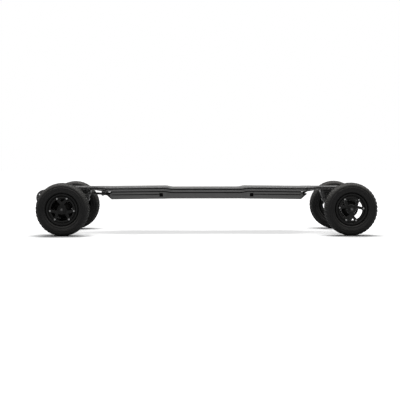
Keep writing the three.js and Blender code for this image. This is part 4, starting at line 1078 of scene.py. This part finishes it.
def truck_point(seat, arm, pin):
    """A point by its way from a kingpin's seat along the arm and along the pin."""
    return seat + arm_line * arm + pin_line * pin


def truck_outline(seat, pairs):
    """An outline in the truck's own lines, as x and z."""
    spots = [truck_point(seat, arm, pin) for arm, pin in pairs]
    return [(p.x, p.z) for p in spots]


def swing_ring(shape, seat, arm):
    """The ring round a kingpin and the pivot pin that reaches to its cup."""
    shape.turned([(6.5, -3.6), (6.9, -4), (12.2, -4), (13, -3.2), (13, 3.2), (12.2, 4), (6.9, 4), (6.5, 3.6)],
                 seat, pin_line, 48, ring=True)
    shape.turned([(0, 9), (6.3, 9), (6.3, 21), (5.6, 23.5), (4.0, 25.0), (4.0, arm - 1.2), (3.0, arm),
                  (0, arm)], seat, arm_line, 32)
    return shape


def pivot_cup(shape, seat, arm):
    """The cup that a pivot pin turns in, with its rounded back."""
    return shape.turned([(4.8, arm - 3), (7.3, arm - 3), (8, arm - 2.3), (8, arm + 4.5), (6.6, arm + 6.6),
                         (4.6, arm + 7), (0, arm + 7), (0, arm + 0.3), (4.8, arm + 0.3)],
                        seat, arm_line, 40)


print("seats", inner_seat[:], outer_seat[:])

# %% Baseplate, carrier and hanger


def baseplate_shape():
    """The plate under the tongue, with the kingpin's boss, the pivot cup and the rib between them."""
    shape = Shape().cut(rounded(box(-76, 4, -27, 27), 9, 6), 139.2, 147.2, 1.2, plane="xy")
    shape.turned([(0, 13.6), (9.9, 13.6), (10.5, 14.2), (10.5, 24.5), (12.5, 27.0), (12.5, 28.5), (0, 28.5)],
                 inner_seat, pin_line, 40)
    pivot_cup(shape, inner_seat, inner_arm)
    rib = truck_outline(inner_seat, [(2, 18.1), (20, 17.5), (34, 8.5), (45, 4)])
    rib += [(-12, 141), (-65, 141)]
    shape.cut(rounded(rib, 3, 3), -4, 4, 0.9)
    for y in bolt_ys:
        for u in bolt_us:
            shape.turned([(0, 137.9), (3.6, 137.9), (5.6, 139.4), (0, 139.4)], (u, y, 0), (0, 0, 1), 24)
    return shape


def carrier_shape():
    """The forged arm between the two kingpins."""
    side = truck_outline(inner_seat, [
        (8, -4), (11, -4), (13, -11), (36, -11), (44, -17.1), (57.5, -17.1), (67.5, -16.6), (60.5, -10),
        (37, -10), (37, -4), (33, 4), (8, 4)])
    shape = Shape().cut(rounded(side, 2.2, 3), -11, 11, 1.3)
    swing_ring(shape, inner_seat, inner_arm)
    shape.turned([(5.3, 13.6), (10.9, 13.6), (11.5, 14.2), (11.5, 23.6), (10.5, 24.6), (5.3, 24.6)],
                 outer_seat, pin_line, 48, ring=True)
    return pivot_cup(shape, outer_seat, outer_arm)


def hanger_shape():
    """The beam round the axle and the arm that rises to its ring."""
    side = truck_outline(outer_seat, [
        (8, -4), (11, -4), (11, -21.3), (16.25, -31.8), (26.75, -31.8), (32, -26.5), (32, -16), (21, -4),
        (17, 4), (8, 4)])
    shape = Shape().cut(rounded(side, 3, 3), -13, 13, 1.6)
    beam = [(7.25, 134), (9.9, 134), (10.5, 133.3), (10.5, 52), (10.7, 40), (11.6, 24), (12.8, 15)]
    beam += [(r, -h) for r, h in reversed(beam)]
    shape.turned(beam, (0, 0, axle_z), (0, 1, 0), 48, ring=True)
    return swing_ring(shape, outer_seat, outer_arm)


print("truck forms ready")

# %% Trucks


def kingpin_shape(seat):
    """A bolt with its washer and lock nut below the lower bushing."""
    shape = Shape().turned([(0, -21.1), (3.8, -21.1), (4.6, -20.4), (4.6, -15.0), (5.0, -13.6), (5.0, 21.4),
                            (4.3, 22.1), (0, 22.1)], seat, pin_line, 32)
    shape.turned([(4.9, -15.2), (9.2, -15.2), (9.5, -14.9), (9.5, -13.9), (9.2, -13.6), (4.9, -13.6)],
                 seat, pin_line, 48, ring=True)
    shape.turned([(4.6, -20.8), (6.6, -20.8), (7.6, -20.0), (7.6, -15.2), (4.6, -15.2)], seat, pin_line, 6,
                 ring=True)
    return shape.turned([(4.5, -20.9), (5.6, -20.9), (5.9, -20.4), (5.9, -19.8), (4.5, -19.8)], seat,
                        pin_line, 32, ring=True)


bushing_foot, bushing_head = 4.3, 13.3


def bushing_shape(seat, side):
    """A urethane barrel that bulges a little where it is squeezed."""
    rows = [(5.4, bushing_foot), (8.8, bushing_foot), (9.2, 4.9), (9.4, 6.4), (9.5, 8.8), (9.4, 11.2),
            (9.2, 12.7), (8.8, bushing_head), (5.4, bushing_head)]
    return Shape().turned([(r, side * h) for r, h in rows], seat, pin_line, 48, ring=True)


for end_name, place_at in end_place.items():
    arm_body, truck_body = f"{end_name}_arm", f"{end_name}_truck"
    for form, node, body in ((baseplate_shape, "baseplate", "deck"), (carrier_shape, "carrier", arm_body),
                             (hanger_shape, "hanger", truck_body)):
        form().moved(place_at).dress(f"{end_name}_{node}", forged_alloy, body)
    for pivot, seat, holder, swinger in (("inner", inner_seat, "deck", arm_body),
                                         ("outer", outer_seat, arm_body, truck_body)):
        kingpin = kingpin_shape(seat).moved(place_at)
        kingpin.dress(f"{end_name}_{pivot}_kingpin", bright_steel, holder)
        for side_name, side in (("board", 1), ("road", -1)):
            bushing = bushing_shape(seat, side).moved(place_at)
            piece = bushing.dress(f"{end_name}_{pivot}_bushing_{side_name}", urethane, None)
            low, high = (place_at @ truck_point(seat, 0, side * h) * mm
                         for h in (bushing_foot, bushing_head))
            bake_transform(piece)
print("trucks", list(end_place))

# %% [markdown]
# ## The drive
# Each rear wheel has its own motor behind the axle. Its mount is a plate that clamps round the hanger's beam,
# and a toothed belt runs from the pinion to a pulley on the wheel. The plate and the belt share one outline,
# a loop round two circles, and the teeth are repeated round their pulleys and along the belt's free runs.

# %% Drive loop
motor_u, motor_rise = 68.0, 36.0
motor_z = axle_z + motor_rise
drive_distance, drive_angle = math.hypot(motor_u, motor_rise), math.atan2(motor_rise, motor_u)
pulley_tip, pinion_tip, tooth_depth, belt_gap = 47.05, 11.24, 1.9, 0.45
tooth_start, tooth_end = 136.5, 152.5
wheel_steps, motor_steps = 64, 28
rear = end_place["rear"]
at_motor = Matrix.Translation((motor_u, 0, motor_z))
sides = {"right": 1, "left": -1}
drive_places = {name: rear @ Matrix.Scale(side, 4, (0, 1, 0)) for name, side in sides.items()}


def drive_loop(wheel_radius, motor_radius):
    """A loop round a circle on the axle and one on the motor's shaft."""
    lean = math.acos((wheel_radius - motor_radius) / drive_distance)
    start = drive_angle + lean
    loop = [(x, axle_z + z) for x, z in arc(wheel_radius, start, start + 2 * (math.pi - lean), wheel_steps)]
    return loop + [(motor_u + x, motor_z + z)
                   for x, z in arc(motor_radius, drive_angle - lean, start, motor_steps)]


def toothed(tip):
    """One tooth that points outwards along x, with soft flanks."""
    root = tip - tooth_depth
    flat = [(root - 0.6, -1.5), (root, -1.35), (root + 0.9, -1.0), (tip, -0.75), (tip, 0.75),
            (root + 0.9, 1.0), (root, 1.35), (root - 0.6, 1.5)]
    return pattern(Shape().cut(flat, tooth_start, tooth_end, 0.15, segments=1))


print("belt runs", round(drive_distance, 1), "mm between shafts")

# %% Motors and mounts
vent = Shape().cut(rounded([(9.5, -1.3), (20.5, -2.2), (20.5, 2.2), (9.5, 1.3)], 0.9, 3), -0.6, 0.6, 0.4)
vent_piece = pattern(vent)
cap_screw = Shape().turned([(0, 2.0), (0.0, 0.7), (1.2, 0.7), (1.3, 2.0), (2.3, 2.0), (2.6, 1.6),
                            (2.6, -0.3), (0, -0.3)], sides=16)
cap_screw_piece = pattern(cap_screw.moved(Matrix.Translation((19.0, 0, 0))))
can = [(0, 52.2), (7.0, 52.2), (7.4, 52.0), (21.8, 52.0), (24.4, 52.5), (26.8, 54.2), (28.0, 56.8),
       (28.0, 63.0), (27.5, 63.4), (27.5, 64.4), (28.0, 64.8)]
for groove in range(9):
    foot = 69.0 + 5.4 * groove
    can += [(28.0, foot), (27.1, foot + 0.5), (27.1, foot + 1.5), (28.0, foot + 2.0)]
can += [(28.0, 118.6), (27.5, 119.0), (27.5, 120.0), (28.0, 120.4), (28.0, 123.4), (26.6, 126.0), (0, 126.0)]
mount_start, mount_end = 126.3, 132.3
window = [(30, axle_z + 8.0), (44, axle_z + 13.5), (40, axle_z + 28.0), (25, axle_z + 20.0)]
clamp = box(-20.5, -9.0, axle_z - 19.5, axle_z - 8.0)
for side_name, place_at in drive_places.items():
    case = Shape().turned(can, sides=72)
    case.take(repeat(round_tree, vent_piece, motor_case, Count=9, Start=0.2))
    case.moved(place_at @ at_motor).dress(f"{side_name}_motor", motor_case, "rear_truck")
    mount = Shape().cut(drive_loop(17.5, 26.5), mount_start, mount_end, 0.8, holes=[
        circle(11.0, z=axle_z), circle(9.0, x=motor_u, z=motor_z), rounded(window, 4, 4)])
    mount.turned([(11.0, 112.3), (16.9, 112.3), (17.5, 112.9), (17.5, 131.6), (16.9, mount_end),
                  (11.0, mount_end)], (0, 0, axle_z), sides=56, ring=True)
    mount.cut(rounded(clamp, 2, 3), 113.5, 131.0, 0.8)
    mount.moved(place_at).dress(f"{side_name}_motor_mount", forged_alloy, "rear_truck")
    screws = Shape().take(repeat(round_tree, cap_screw_piece, bright_steel, Count=4, Start=0.9))
    screws.moved(at_motor @ Matrix.Translation((0, mount_end, 0)))
    for y in (118.0, 126.5):
        screws.turned([(0, -21.4), (1.4, -21.4), (1.5, -20.4), (2.6, -20.4), (2.8, -20.9), (2.8, -19.0),
                       (0, -19.0)], (-14.8, y, axle_z), (0, 0, 1), 20)
    screws.moved(place_at).done(f"{side_name}_mount_screws", bright_steel, "rear_truck")
drop(vent_piece, cap_screw_piece)
print("motors", list(sides))

# %% Pulleys, pinions and belts
pulley_tooth, pinion_tooth = toothed(pulley_tip), toothed(pinion_tip)
belt_tooth = pattern(Shape().cut([(-1.3, 0.3), (-0.9, -1.5), (0.9, -1.5), (1.3, 0.3)], -7.2, 7.2, 0.2,
                                 segments=1))
belt_inside = drive_loop(pulley_tip + belt_gap, pinion_tip + belt_gap)
belt_outside = drive_loop(pulley_tip + 3.25, pinion_tip + 3.25)
straight_runs = [(belt_inside[wheel_steps], belt_inside[wheel_steps + 1]), (belt_inside[-1], belt_inside[0])]
root = pulley_tip - tooth_depth
bolt_holes = [circle(4.5, 24, *polar(34.1, math.pi * i / 3)) for i in range(6)]
for side_name, place_at in drive_places.items():
    pulley = Shape().cut(circle(43.0, 96), tooth_start, 142.5, 0.6, holes=[circle(18.0, 48)] + bolt_holes)
    pulley.turned([(40.2, tooth_start), (root - 0.3, tooth_start), (root, 136.8), (root, 152.2),
                   (root - 0.3, tooth_end), (40.7, tooth_end), (40.2, 152.0)], sides=96, ring=True)
    pulley.turned([(18.0, 136.6), (28.0, 136.6), (28.0, 162.9), (27.2, 163.7), (18.0, 163.7)], sides=64,
                  ring=True)
    pulley.take(repeat(round_tree, pulley_tooth, rim_plastic, Count=60, Start=0.0))
    pulley.moved(place_at @ Matrix.Translation((0, 0, axle_z)))
    pulley.dress(f"{side_name}_wheel_pulley", rim_plastic, f"rear_{side_name}_wheel")
    pinion = Shape().turned([(0, tooth_start), (9.3, tooth_start), (9.34, 136.6), (9.34, 152.4),
                             (9.0, tooth_end), (4.0, tooth_end), (4.0, 152.8), (0, 152.8)], sides=48)
    pinion.take(repeat(round_tree, pinion_tooth, dark_steel, Count=15, Start=0.0))
    pinion.turned([(0, 102.2), (4.0, 102.2), (4.0, 137), (0, 137)], sides=32)
    pinion.moved(place_at @ at_motor)
    pinion.dress(f"{side_name}_motor_pinion", dark_steel, f"{side_name}_pinion")
    belt = Shape().cut(belt_outside, 137, 152, 0.5, holes=[belt_inside], segments=1)
    for (x0, z0), (x1, z1) in straight_runs:
        run = [(x0 + (x1 - x0) * t, 144.5, z0 + (z1 - z0) * t) for t in (0.06, 0.94)]
        belt.take(repeat(path_tree, belt_tooth, belt_rubber, run, line=True, Count=13))
    belt.moved(place_at).dress(f"{side_name}_drive_belt", belt_rubber, "rear_truck")
drop(pulley_tooth, pinion_tooth, belt_tooth)
print("belts", list(sides))

# %% [markdown]
# ## The motor leads
# Each motor has one sleeved lead. It leaves the enclosure's rear end through a gland, passes a saddle clip
# under the deck, dips to the carrier between the two pivots, and goes on to the motor's inner end. It is made
# in two stretches that meet on the carrier, one across each joint of the truck.

# %% Lead routes
inner_lead = [(-155, 34, 43.5), (-138, 34, 43.5), (-119, 34, 45.9), (-98, 34, 47.4), (-76, 34, 48),
              (-58, 31, 45.6), (-40, 24, 38), (-26, 16.4, 31.8), (-11.7, 14.2, 30.6)]
outer_lead = [(-10.7, 14.2, 30.6), (2, 15.6, 31.6), (16, 21, 36), (32, 26, 41), (48, 30, 41.5),
              (61, 35, 38.6), (67, 42, 36.4), (68, 50.6, 36)]


def through(points, steps=7):
    """A smooth line through the points, with the knots spaced by the root of their distance."""
    points = [Vector(p) for p in points]
    ends = [points[0] * 2 - points[1]] + points + [points[-1] * 2 - points[-2]]
    line = []
    for p0, p1, p2, p3 in zip(ends, ends[1:], ends[2:], ends[3:]):
        gaps = [max((b - a).length, 1e-6) ** 0.5 for a, b in ((p0, p1), (p1, p2), (p2, p3))]
        m1 = (p1 - p0) / gaps[0] - (p2 - p0) / (gaps[0] + gaps[1]) + (p2 - p1) / gaps[1]
        m2 = (p2 - p1) / gaps[1] - (p3 - p1) / (gaps[1] + gaps[2]) + (p3 - p2) / gaps[2]
        m1, m2 = m1 * gaps[1], m2 * gaps[1]
        for i in range(steps):
            t = i / steps
            line.append(p1 * (2 * t ** 3 - 3 * t ** 2 + 1) + m1 * (t ** 3 - 2 * t ** 2 + t)
                        + p2 * (3 * t ** 2 - 2 * t ** 3) + m2 * (t ** 3 - t ** 2))
    return line + [points[-1]]


def tube(points, radius, sides=16):
    """A tube along a line, closed at both ends, with a map that runs round and along it."""
    part = bmesh.new()
    map_layer = part.loops.layers.uv.new("UVMap")
    ahead = [(points[min(i + 1, len(points) - 1)] - points[max(i - 1, 0)]).normalized()
             for i in range(len(points))]
    out = ahead[0].orthogonal().normalized()
    rows, far = [], [0.0]
    for i, spot in enumerate(points):
        out = (out - ahead[i] * out.dot(ahead[i])).normalized()
        third = ahead[i].cross(out)
        rows.append([part.verts.new(spot + (out * math.cos(t) + third * math.sin(t)) * radius)
                     for t in (2 * math.pi * k / sides for k in range(sides))])
        if i:
            far.append(far[-1] + (spot - points[i - 1]).length)
    around = 2 * math.pi * radius
    for i, (one, two) in enumerate(zip(rows, rows[1:])):
        for k in range(sides):
            face = part.faces.new((one[k], one[(k + 1) % sides], two[(k + 1) % sides], two[k]))
            for loop, (u, v) in zip(face.loops, ((k, i), (k + 1, i), (k + 1, i + 1), (k, i + 1))):
                loop[map_layer].uv = (u / sides, far[v] / around)
    part.faces.new(rows[0][::-1])
    part.faces.new(rows[-1])
    return part, far[-1]


lead_radius = 2.6
lead_lengths = {}
# Each stretch: its route, the two bodies at its ends, and the knots at which it crosses a joint.
stretches = {"inner": (inner_lead, "deck", "rear_arm", 4, 8),
             "outer": (outer_lead, "rear_arm", "rear_truck", 0, 4)}
for side_name, side in sides.items():
    for stretch, (points, first, second, start, end) in stretches.items():
        spots = [rear @ Vector((u, side * y, axle_z + rise)) for u, y, rise in points]
        part, length = tube(through(spots), lead_radius)
        bmesh.ops.recalc_face_normals(part, faces=part.faces)
        lead_lengths[f"{side_name}_{stretch}"] = round(length, 1)
        bmesh.ops.transform(part, matrix=Matrix.Scale(mm, 4), verts=part.verts)
        smooth_edges(part)
        node = f"{side_name}_{stretch}_lead"
        piece = to_object(f"{node}_dressed", part, lead_sleeve, None, [node])
        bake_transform(piece)
print("lead lengths in mm", lead_lengths)

# %% Clips and glands
clip_u, lead_y, clip_z = -119.0, 34.0, 133.4
for side_name, side in sides.items():
    clip_y = side * lead_y
    clip = Shape().turned([(3.2, -4), (5.2, -4), (5.6, -3.6), (5.6, 3.6), (5.2, 4), (3.2, 4)],
                          (clip_u, clip_y, clip_z), (1, 0, 0), 32, ring=True)
    for half, radius, steps, low, edge in ((2.4, 0.8, 2, 137.6, 0.3), (7, 1.5, 3, 142.9, 0.4)):
        foot = box(clip_u - 4, clip_u + 4, clip_y - half, clip_y + half)
        clip.cut(rounded(foot, radius, steps), low, 145.3, edge, plane="xy")
    clip.moved(rear).dress(f"{side_name}_lead_clip", tray_plastic, "deck")
    gland = Shape().turned([(3.2, -1.5), (5.8, -1.5), (5.8, 1.8), (5.2, 2.6), (4.2, 5.6), (3.2, 5.8)],
                           (-143.5, clip_y, 131.0), (1, 0, 0), 32, ring=True)
    gland.moved(rear).done(f"{side_name}_lead_gland", soft_rubber, "deck")
    boot = Shape().turned([(2.9, 48.6), (4.2, 49.0), (6.2, 51.6), (6.8, 52.3), (2.9, 52.3)], sides=32,
                          ring=True)
    boot.moved(drive_places[side_name] @ at_motor)
    boot.done(f"{side_name}_motor_lead_boot", soft_rubber, "rear_truck")
print("clips and glands done")

# %% [markdown]
# ## Button, charging socket and cap
# On the enclosure's left wall sit a round push button in its bezel and the charging socket under a rubber
# flap, whose moulded hinge runs along the top. All of them are turned about the same sideways axis.

# %% Button and socket
button = Shape().turned([(0, 95.2), (8.6, 95.2), (8.6, 98.6), (7.0, 98.6), (7.0, 103.2), (6.5, 103.7),
                         (5.6, 103.8), (5.0, 103.4), (3.0, 103.1), (0, 103.0)], button_at, sides=48)
button.dress("power_button", bright_steel, "button")
bezel = Shape().turned([(7.35, 101.4), (9.6, 101.4), (9.6, 102.3), (9.1, 102.8), (7.8, 102.8), (7.35, 102.4)],
                       button_at, sides=48, ring=True)
bezel.done("power_button_bezel", black_plastic, "deck")
socket = Shape().turned([(0, 89.6), (7.5, 89.6), (7.5, 102.2), (7.1, 102.6), (5.8, 102.6), (5.4, 102.2),
                         (5.4, 91.6), (0, 91.6)], socket_at, sides=48)
socket.turned([(0, 91.0), (1.1, 91.0), (1.1, 99.6), (0.7, 100.2), (0, 100.4)], socket_at, sides=16)
socket.dress("charge_socket", black_plastic, "deck")
socket_x = socket_at[0]
cap = Shape().turned([(0, 102.9), (8.7, 102.9), (9.0, 103.2), (9.0, 104.4), (8.4, 105.1), (6.6, 105.1),
                      (6.0, 104.7), (0, 104.6)], socket_at, sides=48)
cap.turned([(0, -5), (1.1, -5), (1.4, -4.7), (1.4, 4.7), (1.1, 5), (0, 5)],
           (socket_x, 103.7, 139.3), (1, 0, 0), 24)
cap.cut(rounded(box(socket_x - 3, socket_x + 3, 121.5, 124), 1.2, 3), 103.1, 104.6, 0.4)
cap.dress("charge_port_cap", soft_rubber, "port_cap")
print("button and socket done")

# %% [markdown]
# ## Inside the enclosure
# The battery is two rows of wrapped cells that lie across the board, and the controller is a finned case
# behind it. They don't show, but the board can't work without them.

# %% Battery and controller
cell = pattern(Shape().turned([(0, -32.6), (6.6, -32.6), (8.2, -32.0), (8.4, -31.4), (8.4, 31.4), (8.2, 32.0),
                               (6.6, 32.6), (0, 32.6)], sides=16))
spots = [(-119 + 17.1 * i + board_shift, y, 131.3) for i in range(24) for y in (-42.0, 42.0)]
battery = Shape().take(repeat(point_tree, cell, cell_wrap, spots))
battery.cut(rounded(on_board(box(-128, 296, -84, 84)), 5, 3), 122.8, 124.6, 0.4, plane="xy")
battery.dress("battery_pack", cell_wrap, "deck")
fin = pattern(Shape().cut(on_board(box(-292, -156, 133.0, 136.8)), -3.3, 3.3, 0.5, segments=1))
case = Shape().cut(on_board(box(-292, -156, -58, 58)), 122.8, 133.8, 1.0, plane="xy")
case.take(repeat(point_tree, fin, controller_case, [(0, -54.6 + 13.65 * i, 0) for i in range(9)]))
case.dress("speed_controller", controller_case, "deck")
drop(cell, fin)
print("cells", len(spots))

# %% [markdown]
# ## Screws
# Countersunk screws hold the tray to the deck from below, and four bolts hold each truck through its tongue.
# Their heads are all alike, so one head is drawn and set at each of its points.

# %% Screw heads
head = pattern(Shape().turned([(0, 0.2), (1.5, 0.2), (1.7, 1.3), (3.6, 1.1), (4.2, 0.2), (4.2, -0.6),
                               (0, -0.6)], axis=(0, 0, 1), sides=20))
tops = [(sign * (axle_x + u) + board_shift, y, 160.0) for sign in (1, -1) for u in bolt_us
        for y in bolt_ys]
Shape().take(repeat(point_tree, head, dark_steel, tops)).done("deck_bolt_heads", dark_steel, "deck")
under = [(sign * x + board_shift, y, -(at_station(tray_floor_table, x) + 1.1)) for sign in (1, -1)
         for x, half in ((305, 103), (225, 103), (150, 103), (60, 92)) for y in (-half, half)]
low_heads = Shape().take(repeat(point_tree, head, dark_steel, under))
low_heads.moved(Matrix.Rotation(math.pi, 4, "X")).done("tray_screw_heads", dark_steel, "deck")
drop(head)
print("screws", len(tops) + len(under))
